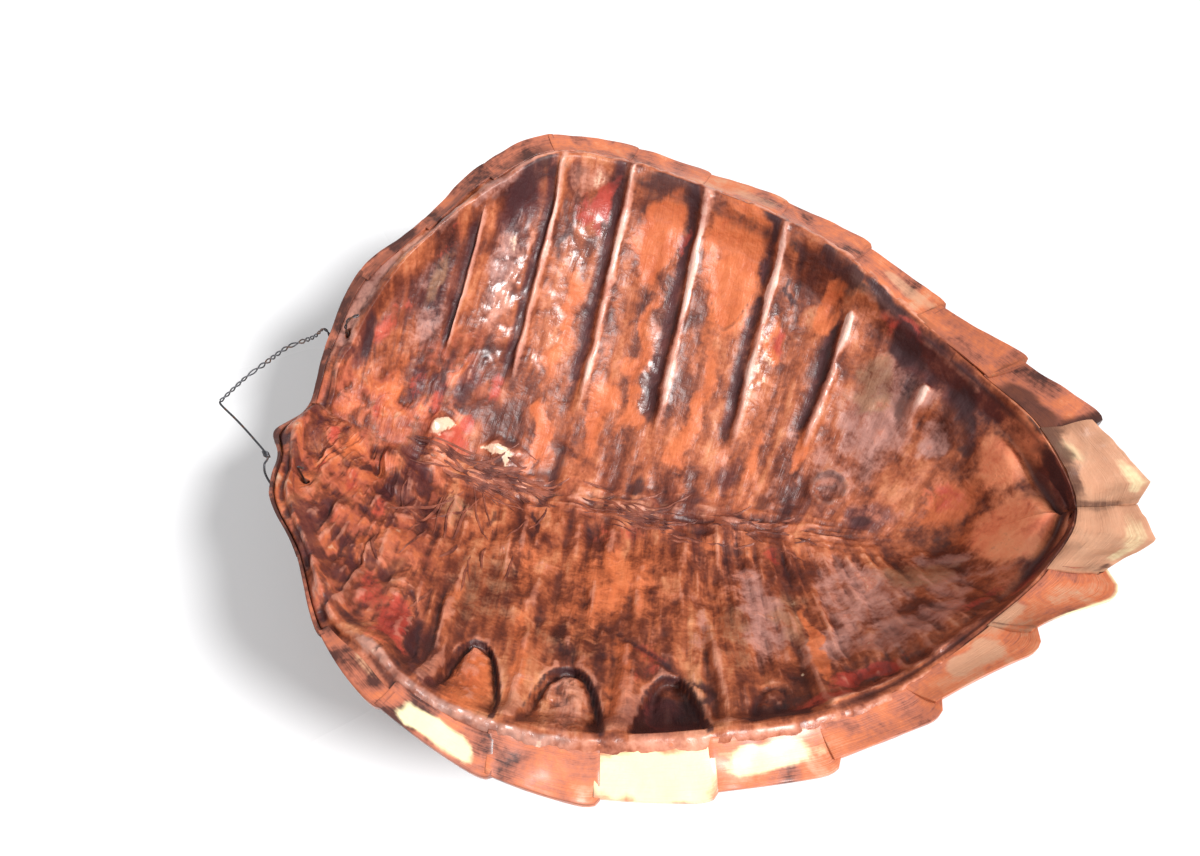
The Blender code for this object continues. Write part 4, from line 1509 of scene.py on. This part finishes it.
    def _points(self) -> tuple[np.ndarray, dict[str, np.ndarray], np.ndarray, int]:
        """Lays out all points, ring by ring.

        Returns:
            The points in millimetres, their masks by name, their grain coordinates, and the number of points in a ring.
        """
        rows = np.linspace(*self.ends, self.stations)
        steps = self._ring_steps()
        around = len(steps)
        u = np.repeat(rows, around)
        walls = np.tile([step[0].value for step in steps], self.stations)
        share = np.tile([step[1] for step in steps], self.stations)
        side = np.tile([float(step[2]) for step in steps], self.stations)
        place = np.zeros((len(u), 3))

        tail = smooth((u - 10.5) / 1.5)
        share = np.where(walls == Wall.RIM.value, share * (1.0 - 0.3 * tail), share)
        share = np.where(walls == Wall.OUTSIDE.value, share * (1.0 - 0.12 * tail), share)
        skin = walls != Wall.OUTSIDE.value
        rows_in, side_in, rim = u[skin], side[skin], (walls == Wall.RIM.value)[skin]
        v = np.where(walls == Wall.INSIDE.value, share, 1.0 + 0.1 * share) * side
        t = np.where(rim, np.abs(v[skin]), share[skin])
        on_rim, on_wall = FORM.rim(rows_in, share[skin], side_in), FORM.inside(rows_in, np.minimum(t, 1.0), side_in)
        wall = np.where(rim[:, None], on_rim, on_wall)
        found = self.relief(rows_in, t, side_in, wall)
        over = smooth((4.6 - rows_in) / 0.8)
        gap = np.linalg.norm((FORM.rim_ridge(rows_in, side_in) - wall)[:, :2], axis=1)
        rearwards = smooth((rows_in - 9.5) / 1.5)
        fade = np.where(rim, over * smooth((0.9 - share[skin]) / 0.5), np.maximum(smooth(gap / 4.5), over))
        height = found.pop("height") * fade
        near = (side_in < 0).astype(float)
        bead = near * smooth((7.2 - rows_in) / 0.8) * smooth((rows_in - 3.6) / 0.5)
        lip = lumps(wall, 5.0, 11.0, 3) * (1.0 - bead) + bead * (1.6 * np.abs(lumps(wall, 3.8, 12.0, 2)) - 0.2)
        crown = bump((share[skin] - 0.10) / 0.26) * (1.0 - over) * (1.0 - 0.8 * rearwards) * rim
        sunk = self.under_scutes * (1.0 + 0.7 * rearwards) * smooth((share[skin] - 0.2 * (1.0 - rearwards)) / 0.15)
        height += ((1.4 + 1.0 * bead) * lip + 0.5) * crown - rim * sunk
        # hollow and raised: masks for painted shade in the hollows and painted light on the raised parts
        found["hollow"], found["raised"] = self._cavities(height, self.stations)
        wall[:, 2] += height
        place[skin] = wall
        own = self._rim_masks(rows_in, share[skin], near, bead, lip)
        masks = {}
        for name in (*found, "ash"):
            values = found.get(name, np.zeros(len(t)))
            if name not in ("hollow", "raised"):
                values = np.where(rim, values * over + own.get(name, 0.0) * (1.0 - over), values)
            masks[name] = np.zeros(len(u))
            masks[name][skin] = values

        outside = ~skin
        place[outside] = self._back(u[outside], share[outside], side[outside])
        grain = np.stack((u * 0.33, v * 1.7), axis=1)
        return place, masks, grain, around

    def build(self) -> bpy.types.Object:
        """A ball with many rings and segments, laid ring by ring around the shell, then drilled for the wire.

        Returns:
            The bone.
        """
        places, masks, grain, around = self._points()
        deselect()
        bpy.ops.mesh.primitive_uv_sphere_add(segments=around, ring_count=self.stations + 1, radius=1.0)
        piece = bpy.context.object
        piece.name = piece.data.name = "bone_shell"
        ball = np.empty(len(piece.data.vertices) * 3, np.float32)
        piece.data.vertices.foreach_get("co", ball)
        ball = ball.reshape(-1, 3).astype(float)
        # the ball's points are told apart by their level and turn, so their order doesn't matter
        polar = np.arctan2(np.hypot(ball[:, 0], ball[:, 1]), ball[:, 2]) / np.pi * (self.stations + 1)
        level = np.rint(polar).astype(int)
        turn = np.rint((np.arctan2(ball[:, 1], ball[:, 0]) / (2 * np.pi) % 1.0) * around).astype(int) % around
        index = np.clip(level - 1, 0, self.stations - 1) * around + turn
        moved = to_frame(places)[index]
        for end, row in ((level == 0, 0), (level == self.stations + 1, self.stations - 1)):
            moved[end] = to_frame(places)[row * around:(row + 1) * around].mean(axis=0)
        write_places(piece.data, moved)
        write_grain(piece.data, grain[index])
        for name, values in masks.items():
            write_attribute(piece.data, name, values[index])
        turn_outwards(piece)
        self._drill(piece)
        pick(piece)
        bpy.ops.object.shade_smooth()
        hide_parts("carapace")
        return dress(piece, BoneFinish().material())

    def _drill(self, piece: bpy.types.Object) -> None:
        """Drills the two holes for the wire.

        Args:
            piece: The bone.
        """
        for x, y, z in self.holes:
            centre = to_frame(np.array((x, y, z)))
            deselect()
            bpy.ops.mesh.primitive_cylinder_add(
                vertices=20, radius=self.hole_radius * MM, depth=self.drill_depth * MM, location=tuple(centre)
            )
            cutter = bpy.context.object
            apply_modifier(piece, "BOOLEAN", operation="DIFFERENCE", object=cutter)
            bpy.data.objects.remove(cutter)


# ------------------------ the scutes


@dataclass(frozen=True)
class Blot:
    """A patch on one marginal scute: where it lies along the scute and across the rim, its half sizes and mask."""

    side: int
    scute: int
    along: float
    across: float
    half_along: float
    half_across: float
    mask: str = "pale"
    strength: float = 1.0


@dataclass
class MarginalScutes:
    """The horn plates that wrap the rim, each with its back corner standing out as a rounded tooth."""

    columns: int = 22
    rim_rows: int = 9
    back_rows: int = 7
    thickness: float = 1.1
    lift: float = 0.35
    root: float = 0.79
    inner_lip: tuple[tuple[float, ...], ...] = (
        (0.75, 0.72, 0.62, 0.45, 0.28, 0.2, 0.16, 0.14, 0.12, 0.10, 0.08, 0.05, 0.03),
        (0.80, 0.84, 0.84, 0.80, 0.50, 0.28, 0.22, 0.14, 0.12, 0.10, 0.08, 0.05, 0.03),
    )
    tones: tuple[tuple[float, ...], ...] = (
        (-0.9, -0.85, -0.6, -0.55, -0.45, -0.1, 0.1, 0.2, 0.0, 0.1, 0.1, -0.2, 0.8),
        (-0.9, -0.9, -0.8, -0.6, -0.4, -0.4, 0.1, 0.7, 0.2, 0.25, 0.25, 0.35, 0.8),
    )
    # painted highlights among the blots: the pale glare on near scute 8, the pale glint along the edge of near scute
    # 11, and the buff blots on near scute 10 and far scutes 7 and 9
    blots: tuple[Blot, ...] = tuple(Blot(*row) for row in (
        (-1, 5, 0.5, 0.68, 0.32, 0.24), (-1, 7, 0.5, 0.62, 0.62, 0.42), (-1, 8, 0.48, 0.52, 0.36, 0.24),
        (1, 7, 0.65, 0.5, 0.35, 0.26, "buff", 0.6), (1, 9, 0.62, 0.6, 0.38, 0.2, "buff", 0.7),
        (-1, 12, 0.5, 0.5, 0.9, 0.9, "buff"), (1, 12, 0.5, 0.5, 0.9, 0.9, "buff"),
        (1, 12, 0.3, 0.25, 0.2, 0.22, "pale", 0.5), (1, 12, 0.66, 0.85, 0.2, 0.14, "pale", 0.6),
        (-1, 12, 0.7, 0.8, 0.25, 0.16, "pale", 0.55), (-1, 12, 0.4, 0.85, 0.2, 0.12, "pale", 0.6),
        (1, 12, 1, 0.35, 0.09, 0.5, "black", 0.75), (-1, 12, 1, 0.3, 0.06, 0.45, "black", 0.6),
        (1, 12, 0.2, 0.06, 0.32, 0.27, "black"), (-1, 10, 0.58, 0.45, 0.26, 0.3, "buff", 0.9),
        (1, 12, 0.15, 0.12, 0.25, 0.14, "black", 0.5), (1, 12, 0.65, 0.05, 0.3, 0.13, "black", 0.85),
        (1, 12, 0.92, 0.45, 0.07, 0.7, "black", 0.38), (-1, 12, 0.9, 0.5, 0.08, 0.7, "black", 0.36),
        (-1, 12, 0.3, 0.15, 0.5, 0.12, "black", 0.4), (1, 12, 0.4, 0.55, 0.1, 0.4, "black", 0.36),
        (-1, 11, 0.6, 0.97, 0.5, 0.05, "pale", 0.9), (1, 12, 0.5, 0.45, 0.5, 0.08, "black", 0.3),
        (1, 11, 0.95, 0.8, 0.1, 0.4, "black"), (-1, 11, 0.2, 0.1, 0.3, 0.3, "buff", 0.9),
        (1, 12, 0.05, 0.2, 0.12, 0.4, "black", 0.8), (-1, 12, 0.1, 0.9, 0.06, 0.1, "black", 0.9),
        (1, 11, 0.6, 0.14, 0.5, 0.3, "black", 0.95), (1, 3, 0.3, 0.4, 0.5, 0.3, "black", 0.5),
        (1, 1, 0.8, 0.5, 0.5, 0.5, "black", 0.6), (1, 4, 0.6, 0.3, 0.5, 0.3, "black", 0.55),
        (1, 10, 0.3, 0.15, 0.6, 0.2, "black", 0.5), (1, 8, 0.5, 0.2, 0.5, 0.2, "black", 0.35),
        (-1, 4, 0.6, 0.5, 0.3, 0.2, "pale", 0.4), (1, 2, 0.5, 0.5, 0.6, 0.4, "black", 0.5),
    ))

    def _scute(self, number: int, side: int) -> bpy.types.Object:
        """One scute: a grid laid from the inner lip over the edge to the back.

        Args:
            number: Which scute, counted from the nape.
            side: 1 on the far side, -1 on the near side.

        Returns:
            The plate, still without thickness.
        """
        rim_rows, back_rows, last = self.rim_rows, self.back_rows, number == LAST_SCUTE
        name = f"marginal_{number}_{'far' if side > 0 else 'near'}"
        piece, along, across = add_grid(name, self.columns, rim_rows + back_rows)
        row = np.rint(across * (rim_rows + back_rows)).astype(int)
        lip = self.inner_lip[0 if side > 0 else 1][number]
        share = lip + (1.0 - lip) * np.clip(row / rim_rows, 0.0, 1.0)
        t = 1.0 - (1.0 - self.root) * np.clip((row - rim_rows - 1) / (back_rows - 1), 0.0, 1.0)
        u = number + along * (1.0 + (-0.001 if last else FORM.overlap))
        sides = np.full(len(u), float(side))
        on_rim = row <= rim_rows
        if last:
            turned = np.clip((row - rim_rows) / back_rows, 0.0, 1.0)
            back = FORM.rim(u, 1.0 - 0.5 * turned, sides, number)
            back[:, 2] -= (self.thickness + 1.6) * smooth(turned / 0.15) + 1.2 * turned
        else:
            back = FORM.under_rim(FORM.outside(u, t, sides, number), u, sides, self.thickness + 0.9, number)
        place = np.where(on_rim[:, None], FORM.rim(u, share, sides, number), back)
        raised = self.lift * along ** 3 - 0.15
        wave = 0.8 * lumps(place, 14.0, 20.0 + number * side, 2)
        knobs = 1.8 * np.abs(wave) + 1.5 * np.abs(lumps(place, 9.0, 24.0 + side, 3)) if last else 0.0
        wave = np.where(on_rim, wave + knobs, np.maximum(wave, 0.0))
        place[:, 2] += np.where(on_rim, 1.0, -1.0) * (raised * smooth((share - lip) / 0.25) + wave)
        write_places(piece.data, to_frame(place))
        write_grain(piece.data, np.stack((u * 0.33, share + (1.0 - t) * 3.0), axis=1))
        masks = {name: np.zeros(len(u)) for name in ("pale", "buff", "black")}
        ragged = 0.35 * lumps(place, 9.0, 33.0, 3)
        for blot in self.blots:
            if (blot.side, blot.scute) == (side, number):
                run = np.abs((along - blot.along) / blot.half_along)
                away = (run ** 3 + np.abs((share - blot.across) / blot.half_across) ** 3) ** (1.0 / 3.0)
                masks[blot.mask] = np.maximum(masks[blot.mask], blot.strength * smooth(1.5 - away + ragged))
        masks["black"] = np.maximum(masks["black"], 0.55 * smooth((along - 0.955) / 0.03) + 0.4 * (along < 0.02))
        # painted shade along the outer edge of near scutes 3 to 6, where the rim turns under
        if side < 0 and 2 < number < 7:
            masks["black"] = np.maximum(masks["black"], 0.6 * smooth((share - 0.90) / 0.08) * on_rim)
        masks["back"] = np.where(on_rim, 0.0, smooth((1.0 - t) / 0.05 + 0.35))
        masks["tone"] = np.full(len(u), self.tones[0 if side > 0 else 1][number])
        for name, values in masks.items():
            write_attribute(piece.data, name, values)
        return piece

    def build(self) -> bpy.types.Object:
        """Lays all scutes, thickens them inwards and rounds their rims.

        Returns:
            The scutes, joined.
        """
        pieces = []
        for number in range(LAST_SCUTE + 1):
            for side in (1, -1):
                piece = self._scute(number, side)
                if side < 0:
                    flip(piece)
                thicken(piece, self.thickness)
                pieces.append(piece)
        joined = join(pieces, "marginal_scutes")
        pick(joined)
        bpy.ops.object.shade_smooth_by_angle(angle=CREASE)
        return dress(joined, HornFinish().material())


@dataclass
class BackScutes:
    """The large horn plates of the back: five along the keel and four on each side, overlapping rearwards."""

    strips: int = 26
    thickness: float = 1.4
    step: float = 1.6
    root: float = 0.82
    vertebral_seams: tuple[float, ...] = (0.75, 3.4, 6.2, 8.6, 10.9, 12.75)
    costal_seams: tuple[float, ...] = (1.2, 4.6, 7.1, 9.6, 12.3)
    narrow: float = 0.25
    wide: float = 0.38
    overlap: float = 0.16

    def _border(self, u: np.ndarray) -> np.ndarray:
        """The zigzag seam between the keel plates and the side plates."""
        knots = sorted([(s, self.narrow) for s in self.vertebral_seams] + [(s, self.wide) for s in self.costal_seams])
        return np.interp(u, [k[0] for k in knots], [k[1] for k in knots])

    def _plate(self, name: str, u0: float, u1: float, side: int) -> bpy.types.Object:
        """One plate: a grid laid on the back, its rear edge lifted over the next one.

        Args:
            name: The plate's name.
            u0: The row of the rim where it starts.
            u1: The row where it ends.
            side: 0 for a keel plate, 1 for the far side and -1 for the near side.

        Returns:
            The plate, still without thickness.
        """
        piece, along, across = add_grid(name, self.strips, self.strips)
        u = u0 + (u1 + self.overlap - u0) * along
        own = np.clip(u, u0, u1)
        if side == 0:
            v = (across * 2.0 - 1.0) * (self._border(own) + 0.012)
            sides = np.where(v < 0, -1.0, 1.0)
            t = np.abs(v)
        else:
            inner = self._border(own) - 0.012
            t = inner + (self.root - inner) * across
            sides = np.full(len(u), float(side))
        place = FORM.outside(u, t, sides)
        ring = np.minimum(np.minimum(along, 1.0 - along), np.minimum(across, 1.0 - across))
        rings = 0.10 * np.sin(ring * 120.0) * smooth(ring / 0.05) * smooth((0.42 - ring) / 0.2)
        keel = 0.8 * bell(t / 0.05) if side == 0 else bell((across - 0.55) / 0.3) * 0.8
        share = self.step if side == 0 else self.step * 0.75
        place[:, 2] -= share * along + rings + keel * smooth(place[:, 2] / 6.0)
        place[:, 2] = np.maximum(place[:, 2], 0.02)
        write_places(piece.data, to_frame(place))
        write_grain(piece.data, np.stack((across * 1.3 + u0, along * 1.2 + side), axis=1))
        for mask, value in (("pale", 0.0), ("buff", 0.0), ("black", 0.0), ("back", 1.0), ("tone", 0.0)):
            write_attribute(piece.data, mask, np.full(len(u), value))
        return piece

    def build(self) -> bpy.types.Object:
        """Lays all plates and thickens them inwards.

        Returns:
            The plates, joined.
        """
        pieces = []
        for number, (u0, u1) in enumerate(zip(self.vertebral_seams, self.vertebral_seams[1:])):
            pieces.append((self._plate(f"vertebral_{number + 1}", u0, u1, 0), 0))
        for number, (u0, u1) in enumerate(zip(self.costal_seams, self.costal_seams[1:])):
            for side in (1, -1):
                name = f"costal_{number + 1}_{'far' if side > 0 else 'near'}"
                pieces.append((self._plate(name, u0, u1, side), side))
        for piece, side in pieces:
            if self._faces_up(piece):
                flip(piece)
            thicken(piece, self.thickness)
        joined = join([piece for piece, _ in pieces], "back_scutes")
        pick(joined)
        bpy.ops.object.shade_smooth_by_angle(angle=CREASE)
        return dress(joined, HornFinish().material("tortoiseshell"))

    @staticmethod
    def _faces_up(piece: bpy.types.Object) -> bool:
        """Whether a plate's faces point up into the hollow."""
        return sum(face.normal.z * face.area for face in piece.data.polygons) > 0.0


# ------------------------ strands of tissue


@dataclass(frozen=True)
class Bundle:
    """Strands that lie side by side.

    They start between two places, with a spread across, and wander off the long axis, or off the short one where
    they are radial.
    """

    start: tuple[float, float]
    end: tuple[float, float]
    spread: float
    count: int
    lengths: tuple[float, float]
    wander: float = 0.10
    radial: bool = False


@dataclass
class TissueFibres:
    """Dried strands that lie along the spine and over the tissue, sunk a little into it."""

    bundles: tuple[Bundle, ...] = (
        Bundle((40.0, 5.0), (84.0, 2.0), 4.5, 40, (16.0, 36.0), 0.06),
        Bundle((78.0, 3.0), (102.0, 0.0), 5.5, 26, (8.0, 18.0), 0.08),
        Bundle((116.0, 1.0), (160.0, -3.0), 4.5, 36, (10.0, 26.0), 0.08),
        Bundle((165.0, -1.0), (235.0, 0.0), 6.0, 26, (6.0, 16.0)),
        Bundle((40.0, -45.0), (110.0, -45.0), 22.0, 12, (12.0, 26.0), 0.15, True),
        Bundle((60.0, -12.0), (78.0, -14.0), 4.0, 12, (20.0, 36.0), 0.12, True),
    )
    radius: float = 0.80
    sunk: float = 0.35
    steps: int = 14
    above: float = 200.0
    seed: int = 5

    def _route(
        self, tree: BVHTree, chance: random.Random, x: float, y: float, heading: float, length: float
    ) -> tuple[np.ndarray, np.ndarray] | None:
        """One strand that wanders over the surface from a start.

        Args:
            tree: The bone's faces.
            chance: The source of random numbers.
            x: Start, behind the nape.
            y: Start, from the middle.
            heading: Direction in radians from the long axis.
            length: The strand's length.

        Returns:
            Its points and radii, or None where it would leave the shell.
        """
        points = []
        curl = chance.uniform(-0.06, 0.06)
        lift = chance.uniform(-0.1, 0.5)
        for i in range(self.steps + 1):
            hit = tree.ray_cast(Vector(to_frame(np.array((x, y, self.above)))), Vector((0.0, 0.0, -1.0)))[0]
            if hit is None:
                return None
            points.append((x, y, hit.z / MM + lift * math.sin(math.pi * i / self.steps) - self.sunk))
            heading += curl + chance.uniform(-0.08, 0.08)
            x += math.cos(heading) * length / self.steps
            y += math.sin(heading) * length / self.steps
        size = self.radius * chance.uniform(0.6, 1.35)
        shares = np.linspace(0.0, 1.0, self.steps + 1)
        line = np.array(points)
        line[1:-1, 2] = (line[:-2, 2] + line[1:-1, 2] + line[2:, 2]) / 3.0
        return line, size * (0.25 + 0.75 * np.sin(np.pi * shares) ** 0.6)

    def build(self, bone: bpy.types.Object) -> bpy.types.Object:
        """Lays all strands on the bone and makes them one piece.

        Args:
            bone: The finished bone.

        Returns:
            The strands.
        """
        tree = BVHTree.FromObject(bone, bpy.context.evaluated_depsgraph_get())
        chance = random.Random(self.seed)
        routes = []
        for bundle in self.bundles:
            for _ in range(bundle.count):
                share = chance.random()
                x = bundle.start[0] + share * (bundle.end[0] - bundle.start[0])
                y = bundle.start[1] + share * (bundle.end[1] - bundle.start[1]) + chance.gauss(0.0, bundle.spread)
                heading = chance.gauss(-math.pi / 2 if bundle.radial else 0.0, bundle.wander)
                routes.append(self._route(tree, chance, x, y, heading, chance.uniform(*bundle.lengths)))
        piece = tubes("tissue_fibres", [route for route in routes if route is not None], 0)
        return dress(piece, FibreFinish().material())


# ------------------------ the wire


@dataclass
class HangingWire:
    """One steel wire: its far leg twisted double, its near leg single, tied through two holes in the front edge."""

    strand: float = 0.34
    twist_radius: float = 0.42
    pitch: float = 7.0
    twisted_gap: float = 0.7
    single_gap: float = 0.9
    knot_radius: float = 1.3
    twisted_leg: tuple[Row, ...] = (
        (17.5, 37.0, 99.0), (13.5, 34.5, 98.5), (11.0, 33.0, 94.0), (11.0, 33.0, 88.0), (11.0, 33.0, 76.0),
        (9.3, 34.0, 69.5), (4.0, 35.5, 69.5), (-1.5, 37.5, 76.5), (-4.0, 38.0, 84.0), (-6.5, 31.8, 85.5),
        (-12.4, 26.5, 86.5), (-17.0, 22.1, 87.0), (-23.0, 12.5, 87.5), (-29.4, 2.9, 87.5), (-36.0, -11.0, 87.5),
    )
    single_leg: tuple[Row, ...] = (
        (-36.0, -11.0, 87.5), (-35.0, -13.0, 87.5), (-24.5, -20.1, 87.5), (-13.8, -27.9, 86.5), (-5.5, -34.7, 85.0),
        (-6.4, -38.0, 83.0), (-4.6, -42.3, 81.0), (0.5, -46.5, 78.0), (7.0, -46.5, 73.0), (13.5, -45.5, 70.5),
        (16.0, -45.0, 74.0), (16.0, -45.0, 82.0), (16.0, -45.0, 92.0), (16.5, -45.3, 98.0), (20.0, -46.5, 100.0),
    )
    knot: Row = (-5.5, -35.0, 85.0)

    @staticmethod
    def _even(points: tuple[Row, ...], gap: float) -> np.ndarray:
        """Even points on a smooth curve through a route's own points.

        Args:
            points: The route's own points.
            gap: The distance between even points.

        Returns:
            The even points.
        """
        spots = np.array(points, float)
        spots = np.vstack((2 * spots[0] - spots[1], spots, 2 * spots[-1] - spots[-2]))
        dense = []
        for k in range(1, len(spots) - 2):
            for i in range(16):
                dense.append(between([spots[k - 1 + j] for j in range(4)], i / 16.0))
        dense = np.array(dense + [spots[-2]])
        length = np.concatenate(([0.0], np.cumsum(np.linalg.norm(np.diff(dense, axis=0), axis=1))))
        goals = np.linspace(0.0, length[-1], int(length[-1] / gap) + 1)
        return np.stack([np.interp(goals, length, dense[:, i]) for i in range(3)], axis=1)

    @staticmethod
    def _frame(line: np.ndarray) -> tuple[np.ndarray, np.ndarray]:
        """Two directions square to a line at each of its points, without twist.

        Args:
            line: The line's points.

        Returns:
            The two directions, one row a point.
        """
        ahead = np.gradient(line, axis=0)
        ahead /= np.linalg.norm(ahead, axis=1)[:, None]
        side = np.cross(ahead[0], (0.0, 0.0, 1.0))
        sides = []
        for direction in ahead:
            side = side - direction * np.dot(side, direction)
            side = side / np.linalg.norm(side)
            sides.append(side)
        sides = np.array(sides)
        return sides, np.cross(ahead, sides)

    def build(self) -> bpy.types.Object:
        """Winds two strands around each other, and adds the single strand and the turns of the knot.

        Returns:
            The wire.
        """
        line = self._even(self.twisted_leg, self.twisted_gap)
        across, up = self._frame(line)
        walked = np.arange(len(line)) * self.twisted_gap
        free = smooth((walked - 52.0) / 12.0)
        uneven = lumps(np.stack((walked, walked * 0, walked * 0), axis=1), 14.0, 31.0, 2)
        turn = 2 * np.pi * (walked + 5.0 * uneven) / self.pitch
        routes = []
        for phase in (0.0, math.pi):
            spread = self.twist_radius + free * 0.45 * np.clip(uneven + 0.3, 0.0, 1.0)
            offset = across * (np.cos(turn + phase) * spread)[:, None] + up * (np.sin(turn + phase) * spread)[:, None]
            routes.append((line + offset, np.full(len(line), self.strand)))
        single = self._even(self.single_leg, self.single_gap)
        routes.append((single, np.full(len(single), self.strand + 0.14)))
        turns = np.linspace(0.0, 5.5 * np.pi, 60)
        knot = np.stack(
            (self.knot[0] + np.cos(turns) * self.knot_radius - turns * 0.10, self.knot[1] + turns * 0.13,
             self.knot[2] + np.sin(turns) * self.knot_radius), axis=1,
        )
        routes.append((knot, np.full(len(knot), self.strand + 0.05)))
        piece = tubes("wound_wire", routes, 2)
        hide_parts("hanging_wire")
        return dress(piece, WireFinish().material())


# ------------------------ the studio


@dataclass
class Studio:
    """A white table, soft lights and the camera above the near side."""

    camera_place: Row = (0.050456, -0.248608, 0.470592)
    camera_right: Row = (0.98172766, 0.18069412, -0.05966943)
    camera_up: Row = (-0.11805383, 0.82426291, 0.55376344)
    camera_back: Row = (0.14924509, -0.53660068, 0.83053333)
    lens: float = 32.01
    sensor: float = 36.0
    ambient: float = 0.55
    table_size: float = 6.0

    def _light(self, kind: str, name: str, place: Row, aim: Row, power: float, **settings: object) -> None:
        """Adds one light.

        Args:
            kind: Blender's light type.
            name: Its name.
            place: Where it stands.
            aim: What it points at.
            power: Its strength.
            **settings: Its other properties, such as its size.
        """
        deselect()
        bpy.ops.object.light_add(type=kind, location=place)
        light = bpy.context.object
        light.name = name
        light.data.energy = power
        for key, value in settings.items():
            setattr(light.data, key, value)
        light.rotation_euler = (Vector(aim) - Vector(place)).to_track_quat("-Z", "Y").to_euler()

    def build(self) -> None:
        """Adds the table, the lights, the world and the camera."""
        deselect()
        bpy.ops.mesh.primitive_plane_add(size=self.table_size, location=(0.0, 0.0, -0.0002))
        table = bpy.context.object
        table.name = "table"
        table.data.materials.append(TableFinish().material())
        self._light("SUN", "key", (0.95, -0.30, 1.0), (0.0, 0.0, 0.0), 4.0, angle=math.radians(14.0))
        self._light("AREA", "lamp_at_camera", (-0.05, -0.60, 0.62), (0.0, 0.02, 0.07), 1.3, size=0.13)
        world = bpy.data.worlds.new("studio")
        bpy.context.scene.world = world
        world.use_nodes = True
        background = world.node_tree.nodes["Background"].inputs
        background["Color"].default_value = (1.0, 1.0, 1.0, 1.0)
        background["Strength"].default_value = self.ambient
        deselect()
        bpy.ops.object.camera_add(location=self.camera_place)
        camera = bpy.context.object
        camera.name = "camera"
        axes = Matrix((self.camera_right, self.camera_up, self.camera_back)).transposed()
        camera.rotation_euler = axes.to_euler()
        camera.data.lens = self.lens
        camera.data.sensor_width = self.sensor
        camera.data.clip_start = 0.01
        bpy.context.scene.camera = camera
        bpy.context.scene.view_settings.view_transform = "Standard"
        LOG.info("studio ready")


def main() -> None:
    """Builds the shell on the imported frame."""
    logging.basicConfig(level=logging.INFO, format="%(name)s: %(message)s")
    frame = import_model()
    LOG.info("frame: %s", type(frame).__name__)
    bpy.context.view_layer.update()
    bone = BoneShell().build()
    MarginalScutes().build()
    BackScutes().build()
    TissueFibres().build(bone)
    HangingWire().build()
    Studio().build()


if __name__ == "__main__":
    main()
